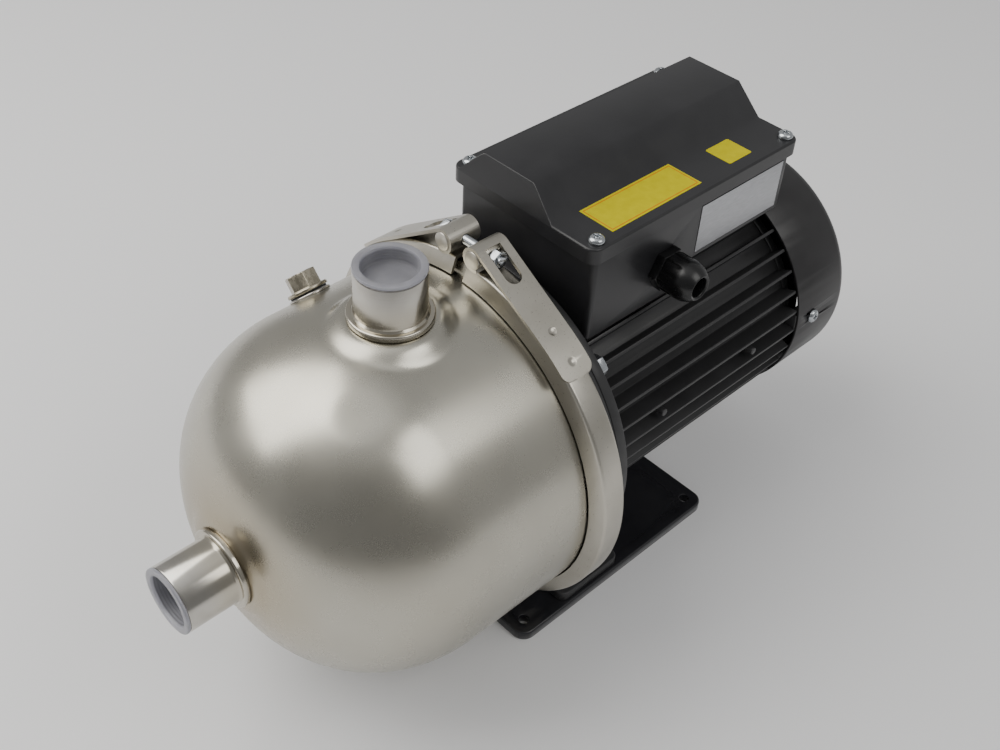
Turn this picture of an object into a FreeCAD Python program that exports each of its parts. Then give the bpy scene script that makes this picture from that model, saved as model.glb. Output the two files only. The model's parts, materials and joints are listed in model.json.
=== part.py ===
import FreeCAD, Part
import math
import os

from FreeCAD import Vector

# Horizontal close-coupled multistage pump. All sizes are millimetres.
# The shapes are made about the shaft: X runs along it from the suction nozzle to the motor,
# X = 0 is the discharge nozzle's axis, and Z = 0 is the shaft's centre line.
# At the end they are moved so that the origin is the centre of the four foot holes, underneath.

# Fits
slip_gap = 0.02
seat_gap = 0.1
running_gap = 0.4

# Barrel
barrel_radius = 109.5
barrel_wall = 2.0
dome_radius = 91.0
dome_start_x = -25.0
barrel_end_x = 58.5
lip_rise = 6.7

# Nozzles, both G1 female sockets
nozzle_radius = 20.0
nozzle_reach = 36.0
discharge_height = 143.8
collar_radius = 24.0
suction_collar_height = 6.0
discharge_collar_height = 8.0
socket_mouth_radius = 16.7
socket_mouth_depth = 9.0
socket_thread_radius = 15.15
socket_thread_length = 14.0
socket_bore_radius = 14.0
spigot_length = 9.0

# Protection caps on the nozzles
cap_rim_thickness = 2.0
cap_wall = 1.0
cap_cup_depth = 8.0

# Vent and drain plugs, G3/8
plug_x = 2.0
vent_angle = 43.7
drain_angle = 136.3
boss_radius = 12.8
boss_proud = 1.2
boss_depth = 9.0
plug_thread_radius = 8.2
plug_thread_length = 8.0
plug_flange_radius = 12.4
plug_flange_thickness = 2.2
plug_hex_across = 17.0
plug_hex_height = 9.5
plug_ring_section = 1.2

# V-band clamp
clamp_front_x = 50.0
clamp_rear_x = 73.0
clamp_rise = 10.7
clamp_foot_rise = 0.9
clamp_sheet = 2.0
clamp_flank_run = 3.2
clamp_gap_half_angle = 2.4
strap_width = 22.0
strap_sheet = 2.0
strap_end_angle = 45.0
strap_lift_angle = 32.5
strap_tail = 58.5
strap_roll_angle = 240.0
strap_slot_start = 34.0
strap_slot_width = 10.8
strap_corner_radius = 6.0
dimple_radius = 2.6
dimple_depth = 0.7
dimple_angles = (4.5, 13.5)
closure_angle = 1.9
trunnion_radius = 5.5
trunnion_length = 23.0
clamp_screw_radius = 3.0
clamp_screw_overhang = 1.5
clamp_nut_across = 10.0
clamp_nut_height = 5.0
clamp_head_height = 4.0

# Pump cover and barrel seal
cover_thickness = 4.0
cover_register_length = 7.0
cover_register_wall = 7.0
cover_spigot_wall = 2.5
cover_window_count = 6
cover_window_width = 26.0
cover_hub_radius = 20.0
cover_hub_wall = 2.0
barrel_ring_section = 1.6

# Stages
stage_count = 3
stage_start_x = -48.0
stage_pitch = 30.0
chamber_radius = 75.0
chamber_wall = 1.5
diaphragm_offset = 16.5
diaphragm_radius = 66.0
return_vane_count = 8
return_vane_sweep = 58.0
weld_overlap = 0.2
vane_thickness = 1.6
impeller_radius = 62.0
impeller_offset = 4.0
impeller_width = 11.0
shroud_thickness = 1.5
eye_radius = 22.0
neck_clearance = 0.3
neck_overlap = 2.5
neck_ring_width = 2.0
impeller_vane_count = 6
impeller_vane_sweep = -62.0
hub_radius = 12.5
impeller_nut_across = 22.0

# Shaft and mechanical seal
shaft_front_x = -54.0
pump_shaft_radius = 8.0
impeller_nut_height = 8.0
seal_ring_radius = 15.0
seal_ring_length = 6.0
seal_seat_length = 6.0
seal_nose_length = 2.0
seal_nose_step = 2.5
bellows_fold_count = 6
bellows_crest_radius = 14.0
bellows_valley_radius = 11.8
bellows_wall = 1.3

# Motor bracket and foot
bracket_flange_x = 62.4
bracket_face_x = 84.0
bracket_radius = 103.0
bracket_wall = 8.0
bracket_hole_radius = 30.0
bracket_rim_width = 16.0
bracket_bolt_circle = 95.0
bracket_bolt_count = 4
bolt_radius = 4.0
bolt_head_across = 13.0
bolt_head_height = 5.3
foot_length = 54.0
foot_half_width = 79.0
foot_thickness = 7.0
foot_web_half_width = 34.0
foot_web_fillet = 22.0
foot_rib = 8.0
foot_screw_radius = 3.0
foot_screw_head_radius = 5.5
foot_screw_head_height = 3.3

# Base plate
shaft_height = 129.0
foot_centre_x = 128.5
foot_hole_spacing_x = 160.0
foot_hole_spacing_y = 142.0
foot_hole_radius = 3.5
foot_hole_edge = 10.5
base_thickness = 7.0
base_sheet = 3.0
base_rim = 5.0
base_corner_radius = 9.0
base_edge_radius = 1.5
base_boss_radius = 9.5

# Motor
flange_thickness = 7.0
register_length = 6.0
motor_front_x = 97.0
motor_rear_x = 284.0
frame_bore_radius = 62.0
frame_root_radius = 70.0
fin_tip_radius = 81.7
fin_count = 34
fin_thickness = 2.6
fin_draft = 0.3
pad_half_width = 40.0
pad_height = 75.0
nub_radius = 2.4
nub_angle = 84.8
nub_x = (148.7, 237.4)
core_start_x = 130.0
core_end_x = 238.0
rotor_radius = 38.0
air_gap = 0.4
stator_slot_count = 24
stator_slot_depth = 13.0
stator_slot_width = 4.2
tooth_tip = 2.0
rotor_sleeve_radius = 12.0
end_ring_length = 9.0
end_ring_inner = 24.0
winding_reach = 17.0

# Bearings, 20 x 47 x 14
bearing_bore_radius = 10.0
bearing_outer_radius = 23.5
bearing_width = 14.0
bearing_ring_wall = 4.2
ball_radius = 3.9
ball_count = 8
ball_gap = 0.06
cage_wall = 1.3
front_bearing_x = 99.0
rear_bearing_x = 262.0
wave_washer_thickness = 0.8

# Fan and cowl
rear_shield_thickness = 6.0
cowl_front_x = 284.7
cowl_rear_x = 340.2
cowl_radius = 83.0
cowl_sheet = 1.6
cowl_edge_radius = 9.0
grille_ring_count = 5
grille_sectors = 8
grille_first_radius = 16.0
grille_pitch = 11.5
grille_slot = 6.5
grille_rib_angle = 9.0
fan_x = 297.0
fan_length = 22.0
fan_radius = 70.0
fan_bore_radius = 7.0
fan_blade_count = 7
fan_blade_thickness = 2.2
cowl_screw_x = 300.7
cowl_screw_angle = 86.5
cowl_lug_width = 13.0
cowl_lug_height = 7.0
cowl_lug_overrun = 6.0

# Terminal box
box_front_x = 98.0
box_step_x = 183.0
box_rear_x = 274.0
box_half_width = 54.0
box_step_floor = 91.0
box_top = 137.0
box_wall = 3.0
box_corner_radius = 4.0
box_post_radius = 5.5
lid_overhang = 3.0
lid_nose = 2.0
lid_edge_radius = 1.5
ridge_wall = 3.5
lid_skirt_bottom = 131.0
lid_top = 141.0
lid_wall = 2.5
ridge_top = 158.0
ridge_near_y = -6.0
ridge_far_y = 34.0
ridge_foot_near_y = -25.0
ridge_foot_far_y = 51.0
ridge_front_slope = 4.0
ridge_rear_slope = 1.0
gasket_thickness = 1.2
gasket_width = 4.0
lid_screw_inset = 4.0
lid_screw_radius = 2.5
lid_screw_head_radius = 4.8
lid_screw_head_height = 3.2
lid_screw_length = 16.0
lid_screw_gap = 0.4
cable_hole_radius = 12.0

# Inside the terminal box
board_inset = 34.0
board_length = 46.0
board_width = 40.0
board_thickness = 9.0
board_rail_height = 3.0
board_rail_width = 16.0
stud_radius = 2.0
stud_height = 9.0
stud_pitch = 15.0
stud_row_gap = 22.0
stud_nut_across = 7.0
stud_nut_height = 3.0
capacitor_radius = 18.0
capacitor_length = 74.0

# Cable gland, M20
gland_x = 161.0
gland_z = 98.0
gland_thread_radius = 9.9
gland_collar_across = 24.0
gland_collar_length = 6.0
gland_thread_reach = 9.0
gland_nut_radius = 12.6
gland_nut_length = 22.0
gland_cable_radius = 5.75
gland_mouth_radius = 6.3
gland_seal_radius = 8.3
gland_male_length = 10.0
gland_seal_start = 1.5

# Nameplate
plate_x0 = 190.0
plate_x1 = 268.0
plate_z0 = 94.0
plate_z1 = 127.0
plate_thickness = 0.6
plate_recess = 0.4


def spot(x, r):
    return Vector(x, 0, r)


def closed_face(start, steps):
    # A step is a point, or a pair of points for an arc: one that it passes through and its end.
    edges = []
    here = start
    for step in steps + [start]:
        if isinstance(step[0], tuple):
            through, end = step
            edges.append(Part.Arc(spot(*here), spot(*through), spot(*end)).toShape())
            here = end
        elif step != here:
            edges.append(Part.LineSegment(spot(*here), spot(*step)).toShape())
            here = step
    return Part.Face(Part.Wire(edges))


def turned(start, *steps):
    return closed_face(start, list(steps)).revolve(Vector(0, 0, 0), Vector(1, 0, 0), 360)


def ring(x0, x1, r_in, r_out):
    outer = Part.makeCylinder(r_out, x1 - x0, Vector(x0, 0, 0), Vector(1, 0, 0))
    if r_in <= 0:
        return outer
    inner = Part.makeCylinder(r_in, x1 - x0 + 2, Vector(x0 - 1, 0, 0), Vector(1, 0, 0))
    return outer.cut(inner)


def hex_bar(x0, x1, across):
    corner = across / math.sqrt(3)
    points = []
    for i in range(7):
        angle = math.radians(60 * i)
        points.append(Vector(x0, corner * math.cos(angle), corner * math.sin(angle)))
    bar = Part.Face(Part.makePolygon(points)).extrude(Vector(x1 - x0, 0, 0))
    chamfer = turned((x0, 0), (x0, across), (x1 - 0.12 * across, across), (x1, across / 2), (x1, 0))
    return bar.common(chamfer)


def placed(shape, base, direction):
    # Turns a shape made along +X to point along a direction, with its X = 0 at the base point.
    moved = shape.copy()
    moved.Placement = FreeCAD.Placement(base, FreeCAD.Rotation(Vector(1, 0, 0), direction))
    return moved


def around_x(shape, angle):
    turned_copy = shape.copy()
    turned_copy.rotate(Vector(0, 0, 0), Vector(1, 0, 0), angle)
    return turned_copy


def pattern_x(shape, count, first=0.0):
    return [around_x(shape, first + 360.0 * i / count) for i in range(count)]


def box(x0, x1, y0, y1, z0, z1):
    return Part.makeBox(x1 - x0, y1 - y0, z1 - z0, Vector(x0, y0, z0))


def rounded_box(x0, x1, y0, y1, z0, z1, radius):
    block = box(x0, x1, y0, y1, z0, z1)
    uprights = [e for e in block.Edges if abs(e.Vertexes[0].Z - e.Vertexes[1].Z) > 0.5 * (z1 - z0)]
    return block.makeFillet(radius, uprights)


def joined(shapes):
    return shapes[0].fuse(shapes[1:]).removeSplitter()


def group(shapes):
    return Part.makeCompound(shapes)


def polar(x, r, angle):
    # Angle 0 is straight up and positive angles go round to the far side, which is +Y.
    return Vector(x, r * math.sin(math.radians(angle)), r * math.cos(math.radians(angle)))


def vane(r_in, r_out, sweep, x0, x1, start_angle):
    radii = (r_in, 0.5 * (r_in + r_out), r_out)
    turns = (0.0, 0.42 * sweep, sweep)
    sides = []
    for side in (-0.5, 0.5):
        points = []
        for r, turn in zip(radii, turns):
            points.append(polar(x0, r, start_angle + turn + math.degrees(side * vane_thickness / r)))
        sides.append(points)
    edges = [
        Part.Arc(*sides[0]).toShape(),
        Part.LineSegment(sides[0][2], sides[1][2]).toShape(),
        Part.Arc(sides[1][2], sides[1][1], sides[1][0]).toShape(),
        Part.LineSegment(sides[1][0], sides[0][0]).toShape(),
    ]
    return Part.Face(Part.Wire(edges)).extrude(Vector(x1 - x0, 0, 0))


# Barrel

lip_radius = barrel_radius + lip_rise
clamp_radius = barrel_radius + clamp_rise
clamp_foot_radius = barrel_radius + clamp_foot_rise
boss_face = barrel_radius + boss_proud
boss_step_radius = boss_radius - 2.0
dome_flat_radius = barrel_radius - dome_radius
dome_front_x = dome_start_x - dome_radius
suction_reach = nozzle_reach - dome_front_x
half_turn = math.sqrt(0.5)


def band_flank_x(radius):
    # Outer face of the clamp band's front flank at a radius.
    slope = clamp_flank_run / (clamp_radius - clamp_sheet - clamp_foot_radius)
    return clamp_front_x + slope * (radius - clamp_foot_radius)


def gripped_flank_x(radius):
    # Face of the barrel's lip that the front flank grips. The bracket's flange mirrors it.
    return band_flank_x(radius) + clamp_sheet + seat_gap


clamp_middle_x = 0.5 * (clamp_front_x + clamp_rear_x)
lip_start_x = gripped_flank_x(barrel_radius)


def barrel_outline(inset):
    # The barrel's outer surface from the crown to its cylinder, moved inwards by the inset.
    radius = dome_radius - inset
    middle = (dome_start_x - radius * half_turn, dome_flat_radius + radius * half_turn)
    return [
        (dome_front_x + inset, 0),
        (dome_front_x + inset, dome_flat_radius),
        (middle, (dome_start_x, barrel_radius - inset)),
    ]


def barrel_envelope():
    return turned(*barrel_outline(0), (lip_start_x, barrel_radius), (lip_start_x, 0))


def pump_barrel():
    outer = barrel_outline(0)
    inner = barrel_outline(barrel_wall)
    body = turned(
        *outer, (lip_start_x, barrel_radius), (gripped_flank_x(lip_radius), lip_radius),
        (barrel_end_x, lip_radius), (barrel_end_x, 0))
    hollow = turned(*inner, (barrel_end_x + 1, barrel_radius - barrel_wall), (barrel_end_x + 1, 0))
    shell = body.cut(hollow)
    reach = nozzle_radius + seat_gap
    shell = shell.cut(ring(dome_front_x - 5, dome_front_x + 20, 0, reach))
    shell = shell.cut(Part.makeCylinder(reach, barrel_radius + 20, Vector(0, 0, 0), Vector(0, 0, 1)))
    for angle in (vent_angle, drain_angle):
        hole = ring(0, barrel_radius + 20, 0, boss_step_radius + seat_gap)
        shell = shell.cut(placed(hole, Vector(plug_x, 0, 0), polar(0, 1, angle)))
    return shell


def nozzle(face, surface, collar_height):
    # A socket along +X with its face at X = face, welded to a surface that crosses it at X = surface.
    mouth = face - socket_mouth_depth
    thread_end = mouth - socket_thread_length
    root = surface - spigot_length
    collar_top = surface + collar_height
    return turned(
        (root, socket_bore_radius), (thread_end, socket_bore_radius), (thread_end, socket_thread_radius),
        (mouth, socket_thread_radius), (mouth, socket_mouth_radius), (face, socket_mouth_radius),
        (face, nozzle_radius - 0.6), (face - 0.6, nozzle_radius), (collar_top + 1.5, nozzle_radius),
        (collar_top, nozzle_radius + 1.2),
        ((collar_top - 0.7, collar_radius - 0.7), (collar_top - 2.5, collar_radius)),
        (root, collar_radius))


def welded_nozzle(face, surface, collar_height, direction):
    # The collar is cut back to the barrel's surface, and a plain spigot goes on through the wall.
    local = nozzle(face, surface, collar_height)
    root = surface - spigot_length
    sleeve = ring(root - 1, face + 1, nozzle_radius, collar_radius + 5)
    shaped = placed(local, Vector(0, 0, 0), direction)
    outside = placed(sleeve, Vector(0, 0, 0), direction)
    return shaped.cut(barrel_envelope().common(outside))


def suction_nozzle():
    return welded_nozzle(suction_reach, -dome_front_x, suction_collar_height, Vector(-1, 0, 0))


def discharge_nozzle():
    return welded_nozzle(discharge_height, barrel_radius, discharge_collar_height, Vector(0, 0, 1))


def cap(face, direction):
    rim = face + seat_gap
    cup_radius = socket_mouth_radius - 3 * seat_gap
    bottom = face - cap_cup_depth
    shape = turned(
        (bottom, 0), (bottom, cup_radius - 0.5), (bottom + 0.5, cup_radius), (rim, cup_radius),
        (rim, nozzle_radius), (rim + cap_rim_thickness - 0.5, nozzle_radius),
        (rim + cap_rim_thickness, nozzle_radius - 0.5), (rim + cap_rim_thickness, cup_radius - cap_wall),
        (bottom + cap_wall, cup_radius - cap_wall), (bottom + cap_wall, 0))
    return placed(shape, Vector(0, 0, 0), direction)


# Vent and drain plugs


def plug_boss(angle):
    root = boss_face - boss_depth
    shape = turned(
        (root, plug_thread_radius), (boss_face, plug_thread_radius),
        (boss_face, boss_radius - 0.5), (boss_face - 0.5, boss_radius), (root, boss_radius))
    axis = polar(0, 1, angle)
    sleeve = ring(root - 1, boss_face + 1, boss_step_radius, boss_radius + 2)
    outside = placed(sleeve, Vector(plug_x, 0, 0), axis)
    return placed(shape, Vector(plug_x, 0, 0), axis).cut(barrel_envelope().common(outside))


def plug_bosses():
    return group([plug_boss(vent_angle), plug_boss(drain_angle)])


def plug(angle):
    seat = boss_face + plug_ring_section
    thread_end = boss_face - plug_thread_length
    core = plug_thread_radius - seat_gap / 2
    body = turned(
        (thread_end, 0), (thread_end, core - 1), (thread_end + 1, core), (seat, core),
        (seat, plug_flange_radius), (seat + plug_flange_thickness - 0.5, plug_flange_radius),
        (seat + plug_flange_thickness, plug_flange_radius - 0.5), (seat + plug_flange_thickness, 0))
    top = seat + plug_flange_thickness
    head = hex_bar(top - 0.5, top + plug_hex_height, plug_hex_across)
    return placed(joined([body, head]), Vector(plug_x, 0, 0), polar(0, 1, angle))


def plug_seal(angle):
    inner = plug_thread_radius + seat_gap
    outer = plug_flange_radius - 1.2
    washer = ring(boss_face + seat_gap / 2, boss_face + plug_ring_section - seat_gap / 2, inner, outer)
    return placed(washer, Vector(plug_x, 0, 0), polar(0, 1, angle))


# V-band clamp


def closure(shape):
    # The band's gap and everything across it sit a little to the far side of the top.
    return around_x(shape, -closure_angle)


def clamp_band():
    sheet = clamp_sheet
    shoulder = clamp_radius - sheet
    front = band_flank_x(shoulder)
    rear = 2 * clamp_middle_x - front
    profile = turned(
        (clamp_front_x, clamp_foot_radius), (front, shoulder),
        ((front + 0.35 * sheet, clamp_radius - 0.3 * sheet), (front + 1.2 * sheet, clamp_radius)),
        (rear - 1.2 * sheet, clamp_radius),
        ((rear - 0.35 * sheet, clamp_radius - 0.3 * sheet), (rear, shoulder)),
        (clamp_rear_x, clamp_foot_radius), (clamp_rear_x - sheet, clamp_foot_radius),
        (rear - sheet, shoulder), (front + sheet, shoulder),
        (clamp_front_x + sheet, clamp_foot_radius))
    opening = math.radians(clamp_gap_half_angle)
    half = clamp_radius * math.tan(opening)
    gap = box(clamp_front_x - 5, clamp_rear_x + 5, -half, half, 0, clamp_radius + 5)
    return closure(profile.cut(gap))


def strap_directions():
    # Side view of the near strap, where it leaves the band: the way it runs, and the way out.
    lift = math.radians(strap_lift_angle)
    return Vector(0, math.cos(lift), math.sin(lift)), Vector(0, -math.sin(lift), math.cos(lift))


def trunnion_centre():
    # The trunnion lies under the straight part of the strap.
    along, outward = strap_directions()
    return along * strap_tail + outward * (clamp_radius - trunnion_radius)


strap_inner_radius = clamp_radius + seat_gap
strap_outer_radius = strap_inner_radius + strap_sheet


def strap_strip():
    # One strip, bent round the band, straight over the trunnion, and rolled down round it.
    along, outward = strap_directions()
    centre = trunnion_centre()
    inner = strap_inner_radius
    outer = strap_outer_radius
    eye = trunnion_radius + seat_gap
    roll = eye + strap_sheet
    first = strap_end_angle
    middle = 0.5 * (strap_end_angle + strap_lift_angle)
    lift = strap_lift_angle
    last = strap_roll_angle

    def band(radius, angle):
        return polar(0, radius, -angle)

    def rolled(radius, turn):
        angle = math.radians(turn)
        return centre + outward * (radius * math.cos(angle)) + along * (radius * math.sin(angle))

    edges = [
        Part.Arc(band(outer, first), band(outer, middle), band(outer, lift)),
        Part.LineSegment(band(outer, lift), rolled(roll, 0)),
        Part.Arc(rolled(roll, 0), rolled(roll, last / 2), rolled(roll, last)),
        Part.LineSegment(rolled(roll, last), rolled(eye, last)),
        Part.Arc(rolled(eye, last), rolled(eye, last / 2), rolled(eye, 0)),
        Part.LineSegment(rolled(eye, 0), band(inner, lift)),
        Part.Arc(band(inner, lift), band(inner, middle), band(inner, first)),
        Part.LineSegment(band(inner, first), band(outer, first)),
    ]
    face = Part.Face(Part.Wire([edge.toShape() for edge in edges]))
    face.translate(Vector(clamp_middle_x - strap_width / 2, 0, 0))
    strip = face.extrude(Vector(strap_width, 0, 0))
    corners = []
    for edge in strip.Edges:
        place = edge.CenterOfMass
        angle = math.degrees(math.atan2(-place.y, place.z))
        if abs(edge.Length - strap_sheet) < 0.05 and angle > strap_end_angle - 1:
            corners.append(edge)
    return strip.makeFillet(strap_corner_radius, corners)


def strap_slot():
    # Drawn as if the strap lay flat, then turned to its slope. The nut shows through it.
    half = strap_slot_width / 2
    depth = 3 * strap_sheet
    low = strap_inner_radius - strap_sheet
    first = strap_slot_start + half
    middle = clamp_middle_x
    slot = box(middle - half, middle + half, first, strap_tail, low, low + depth)
    slot_end = Part.makeCylinder(half, depth, Vector(middle, first, low))
    return around_x(slot.fuse(slot_end), strap_lift_angle)


def near_strap():
    centre = trunnion_centre()
    way = ring(0, 3 * trunnion_radius, 0, clamp_screw_radius + running_gap)
    cutters = [strap_slot(), placed(way, Vector(clamp_middle_x, centre.y, centre.z), Vector(0, 1, 0))]
    ball = 2 * dimple_radius
    height = strap_outer_radius + ball - dimple_depth
    for angle in dimple_angles:
        cutters.append(Part.makeSphere(ball, polar(clamp_middle_x, height, angle - strap_end_angle)))
    return strap_strip().cut(cutters)


def on_both_sides(shape):
    return closure(group([shape, shape.mirror(Vector(0, 0, 0), Vector(0, 1, 0))]))


def clamp_straps():
    return on_both_sides(near_strap())


def clamp_trunnions():
    centre = trunnion_centre()
    base = Vector(clamp_middle_x - trunnion_length / 2, centre.y, centre.z)
    pin = Part.makeCylinder(trunnion_radius, trunnion_length, base, Vector(1, 0, 0))
    bore_start = Vector(clamp_middle_x, centre.y - 2 * trunnion_radius, centre.z)
    bore_radius = clamp_screw_radius + slip_gap
    bore = Part.makeCylinder(bore_radius, 4 * trunnion_radius, bore_start, Vector(0, 1, 0))
    return on_both_sides(pin.cut(bore))


def clamp_seat_y():
    # The screw's head and the nut bear on the outsides of the two trunnions.
    return trunnion_radius + seat_gap - trunnion_centre().y


def clamp_hex(length):
    # Two of its flats face the sides of the slot.
    seat = clamp_seat_y()
    return around_x(hex_bar(seat, seat + length, clamp_nut_across), 90)


def across_gap(shape, direction):
    return closure(placed(shape, Vector(clamp_middle_x, 0, trunnion_centre().z), direction))


def clamp_screw():
    seat = clamp_seat_y()
    near_end = -seat - clamp_nut_height - clamp_screw_overhang
    shank = ring(near_end, seat + 1, 0, clamp_screw_radius)
    return across_gap(joined([shank, clamp_hex(clamp_head_height)]), Vector(0, 1, 0))


def clamp_nut():
    seat = clamp_seat_y()
    hole = ring(seat - 1, seat + clamp_nut_height + 1, 0, clamp_screw_radius + slip_gap)
    return across_gap(clamp_hex(clamp_nut_height).cut(hole), Vector(0, -1, 0))


# Pump cover, seal and stages

cover_front_x = barrel_end_x + seat_gap
cover_rear_x = bracket_flange_x - seat_gap
stage_end_x = stage_start_x + stage_count * stage_pitch
cover_plate_x = cover_rear_x - cover_thickness
barrel_ring_centre = barrel_radius - barrel_wall - barrel_ring_section - slip_gap
barrel_ring_x = cover_front_x - cover_register_length / 2


def pump_cover():
    # A plate between the barrel and the bracket, with a register that holds the O-ring in its groove.
    register = barrel_radius - barrel_wall - seat_gap
    register_x = cover_front_x - cover_register_length
    inner = register - cover_register_wall
    groove_x = barrel_ring_x - barrel_ring_section - slip_gap
    groove_end_x = barrel_ring_x + barrel_ring_section + slip_gap
    groove = barrel_ring_centre - barrel_ring_section - slip_gap
    pocket = seal_ring_radius + seat_gap
    pocket_x = cover_plate_x + seal_seat_length
    bore = pump_shaft_radius + running_gap
    disc = turned(
        (cover_plate_x, pocket), (cover_plate_x, inner), (register_x, inner), (register_x, register),
        (groove_x, register), (groove_x, groove), (groove_end_x, groove), (groove_end_x, register),
        (cover_front_x, register), (cover_front_x, lip_radius), (cover_rear_x, lip_radius),
        (cover_rear_x, cover_hub_radius), (pocket_x + cover_hub_wall, cover_hub_radius),
        (pocket_x + cover_hub_wall, bore), (pocket_x, bore), (pocket_x, pocket))
    start = stage_end_x + seat_gap
    spigot = ring(start, cover_plate_x + 0.5, chamber_radius - cover_spigot_wall, chamber_radius)
    half = cover_window_width / 2
    window = box(start + 3, cover_plate_x - 3, -half, half, chamber_radius - 15, chamber_radius + 5)
    return joined([disc, spigot.cut(pattern_x(window, cover_window_count))])


def torus_ring(x, radius, section):
    return Part.makeTorus(radius, section, Vector(x, 0, 0), Vector(1, 0, 0))


def barrel_o_ring():
    return torus_ring(barrel_ring_x, barrel_ring_centre, barrel_ring_section)


def chamber_start(index):
    return stage_start_x + index * stage_pitch


neck_hole_radius = eye_radius + neck_clearance + neck_ring_width + seat_gap


def stage_chamber(index):
    x0 = chamber_start(index) + seat_gap / 2
    x1 = chamber_start(index) + stage_pitch - seat_gap / 2
    middle = chamber_start(index) + diaphragm_offset
    inner = chamber_radius - chamber_wall
    eye = neck_hole_radius
    cup = turned((x0, inner), (x0, chamber_radius), (x1 - 2, chamber_radius),
                 ((x1 - 0.6, chamber_radius - 0.6), (x1, chamber_radius - 2)),
                 (x1, eye), (x1 - chamber_wall, eye), (x1 - chamber_wall, inner))
    hub_hole = hub_radius + running_gap
    diaphragm = ring(middle, middle + chamber_wall, hub_hole, diaphragm_radius)
    front = middle + chamber_wall - weld_overlap
    rear = x1 - chamber_wall + weld_overlap
    vanes = []
    for i in range(return_vane_count):
        start = 360.0 * i / return_vane_count
        vanes.append(vane(eye + 3, inner + weld_overlap, return_vane_sweep, front, rear, start))
    return joined([cup, diaphragm] + vanes)


def neck_rings():
    # One ring in each wall that an impeller's neck runs through.
    bore = eye_radius + neck_clearance
    rings = []
    for index in range(stage_count):
        x = chamber_start(index)
        rings.append(ring(x - chamber_wall, x + 0.8, bore, neck_hole_radius - seat_gap))
    return group(rings)


def inlet_cone():
    # Leads the water from the suction spigot to the first impeller, and closes the first chamber.
    spigot_end = dome_front_x + spigot_length
    inner = nozzle_radius + seat_gap
    eye = neck_hole_radius
    x1 = stage_start_x - seat_gap / 2
    wall = chamber_wall
    return turned(
        (spigot_end - 5, inner), (spigot_end + 2, inner), (x1 - wall, eye), (x1, eye),
        (x1, chamber_radius), (x1 - wall, chamber_radius), (x1 - wall, eye + wall + 6),
        ((x1 - wall - 1.8, eye + wall + 1.8), (x1 - wall - 8, eye + wall)),
        (spigot_end + 2, inner + wall), (spigot_end - 5, inner + wall))


def impeller(index):
    x0 = chamber_start(index) + impeller_offset
    x1 = x0 + impeller_width
    bore = pump_shaft_radius + slip_gap
    back = turned(
        (x0 + 1, bore), (x0 + 1, hub_radius - 2), (x0 + 4, hub_radius),
        (x1 - shroud_thickness - 2, hub_radius + 1), (x1 - shroud_thickness, hub_radius + 6),
        (x1 - shroud_thickness, impeller_radius), (x1, impeller_radius), (x1, bore))
    neck_x = chamber_start(index) - neck_overlap
    front = turned(
        (neck_x, eye_radius - shroud_thickness), (neck_x, eye_radius), (x0 + 0.6, eye_radius),
        (x0 + 1.4, eye_radius + 4), (x0 + 3, impeller_radius),
        (x0 + 3 + shroud_thickness, impeller_radius), (x0 + 1.4 + shroud_thickness, eye_radius + 2),
        (x0 + 0.6, eye_radius - shroud_thickness))
    envelope = turned(
        (x0 + 2.2, hub_radius - 1), (x0 + 2.2, eye_radius), (x0 + 3.4, impeller_radius - 0.4),
        (x1 - 0.5, impeller_radius - 0.4), (x1 - 0.5, hub_radius - 1))
    vanes = []
    for i in range(impeller_vane_count):
        start = 360.0 * i / impeller_vane_count
        blade = vane(hub_radius + 4, impeller_radius + 2, impeller_vane_sweep, x0, x1, start)
        vanes.append(blade.common(envelope))
    return joined([back, front] + vanes)


def stage_spacers():
    spacers = []
    for index in range(stage_count - 1):
        x0 = chamber_start(index) + impeller_offset + impeller_width + slip_gap
        x1 = chamber_start(index + 1) + impeller_offset + 1 - slip_gap
        spacers.append(ring(x0, x1, pump_shaft_radius + slip_gap, hub_radius - 1))
    return group(spacers)


last_impeller_x = chamber_start(stage_count - 1) + impeller_offset + impeller_width
seal_face_x = cover_plate_x - seat_gap
shaft_thread_radius = pump_shaft_radius - 1.2
seal_ring_x = seal_face_x - seal_ring_length
first_hub_x = chamber_start(0) + impeller_offset + 1


def impeller_nut():
    face = -first_hub_x
    nut = hex_bar(face + slip_gap, face + impeller_nut_height, impeller_nut_across)
    nut = nut.cut(ring(face - 1, face + impeller_nut_height + 1, 0, shaft_thread_radius + slip_gap))
    return placed(nut, Vector(0, 0, 0), Vector(-1, 0, 0))


def seal_rotating_ring():
    bore = pump_shaft_radius + slip_gap
    nose_x = seal_face_x - seal_nose_length
    nose = seal_ring_radius - seal_nose_step
    return turned(
        (seal_ring_x, bore), (seal_ring_x, seal_ring_radius), (nose_x, seal_ring_radius),
        (nose_x, nose), (seal_face_x, nose), (seal_face_x, bore))


def seal_bellows():
    # Folded rubber up to the rotating ring. Its plain end, on the last hub, passes the last diaphragm.
    hub_end = last_impeller_x + seat_gap
    start = chamber_start(stage_count - 1) + diaphragm_offset + chamber_wall + running_gap
    fold = (seal_ring_x - seat_gap - start) / bellows_fold_count
    outer = [(hub_end, bellows_valley_radius), (start, bellows_valley_radius)]
    for index in range(bellows_fold_count):
        outer.append((start + (index + 0.5) * fold, bellows_crest_radius))
        outer.append((start + (index + 1) * fold, bellows_valley_radius))
    inner = [(x, radius - bellows_wall) for x, radius in reversed(outer)]
    return turned(*outer, *inner)


def seal_seat():
    x0 = cover_plate_x
    return ring(x0, x0 + seal_seat_length - slip_gap, pump_shaft_radius + running_gap, seal_ring_radius)


# Shaft, rotor and bearings

rotor_sleeve_start = front_bearing_x + bearing_width + slip_gap
rotor_sleeve_end = rear_bearing_x - slip_gap
shaft_rear_x = fan_x + fan_length + 3.0


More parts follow.
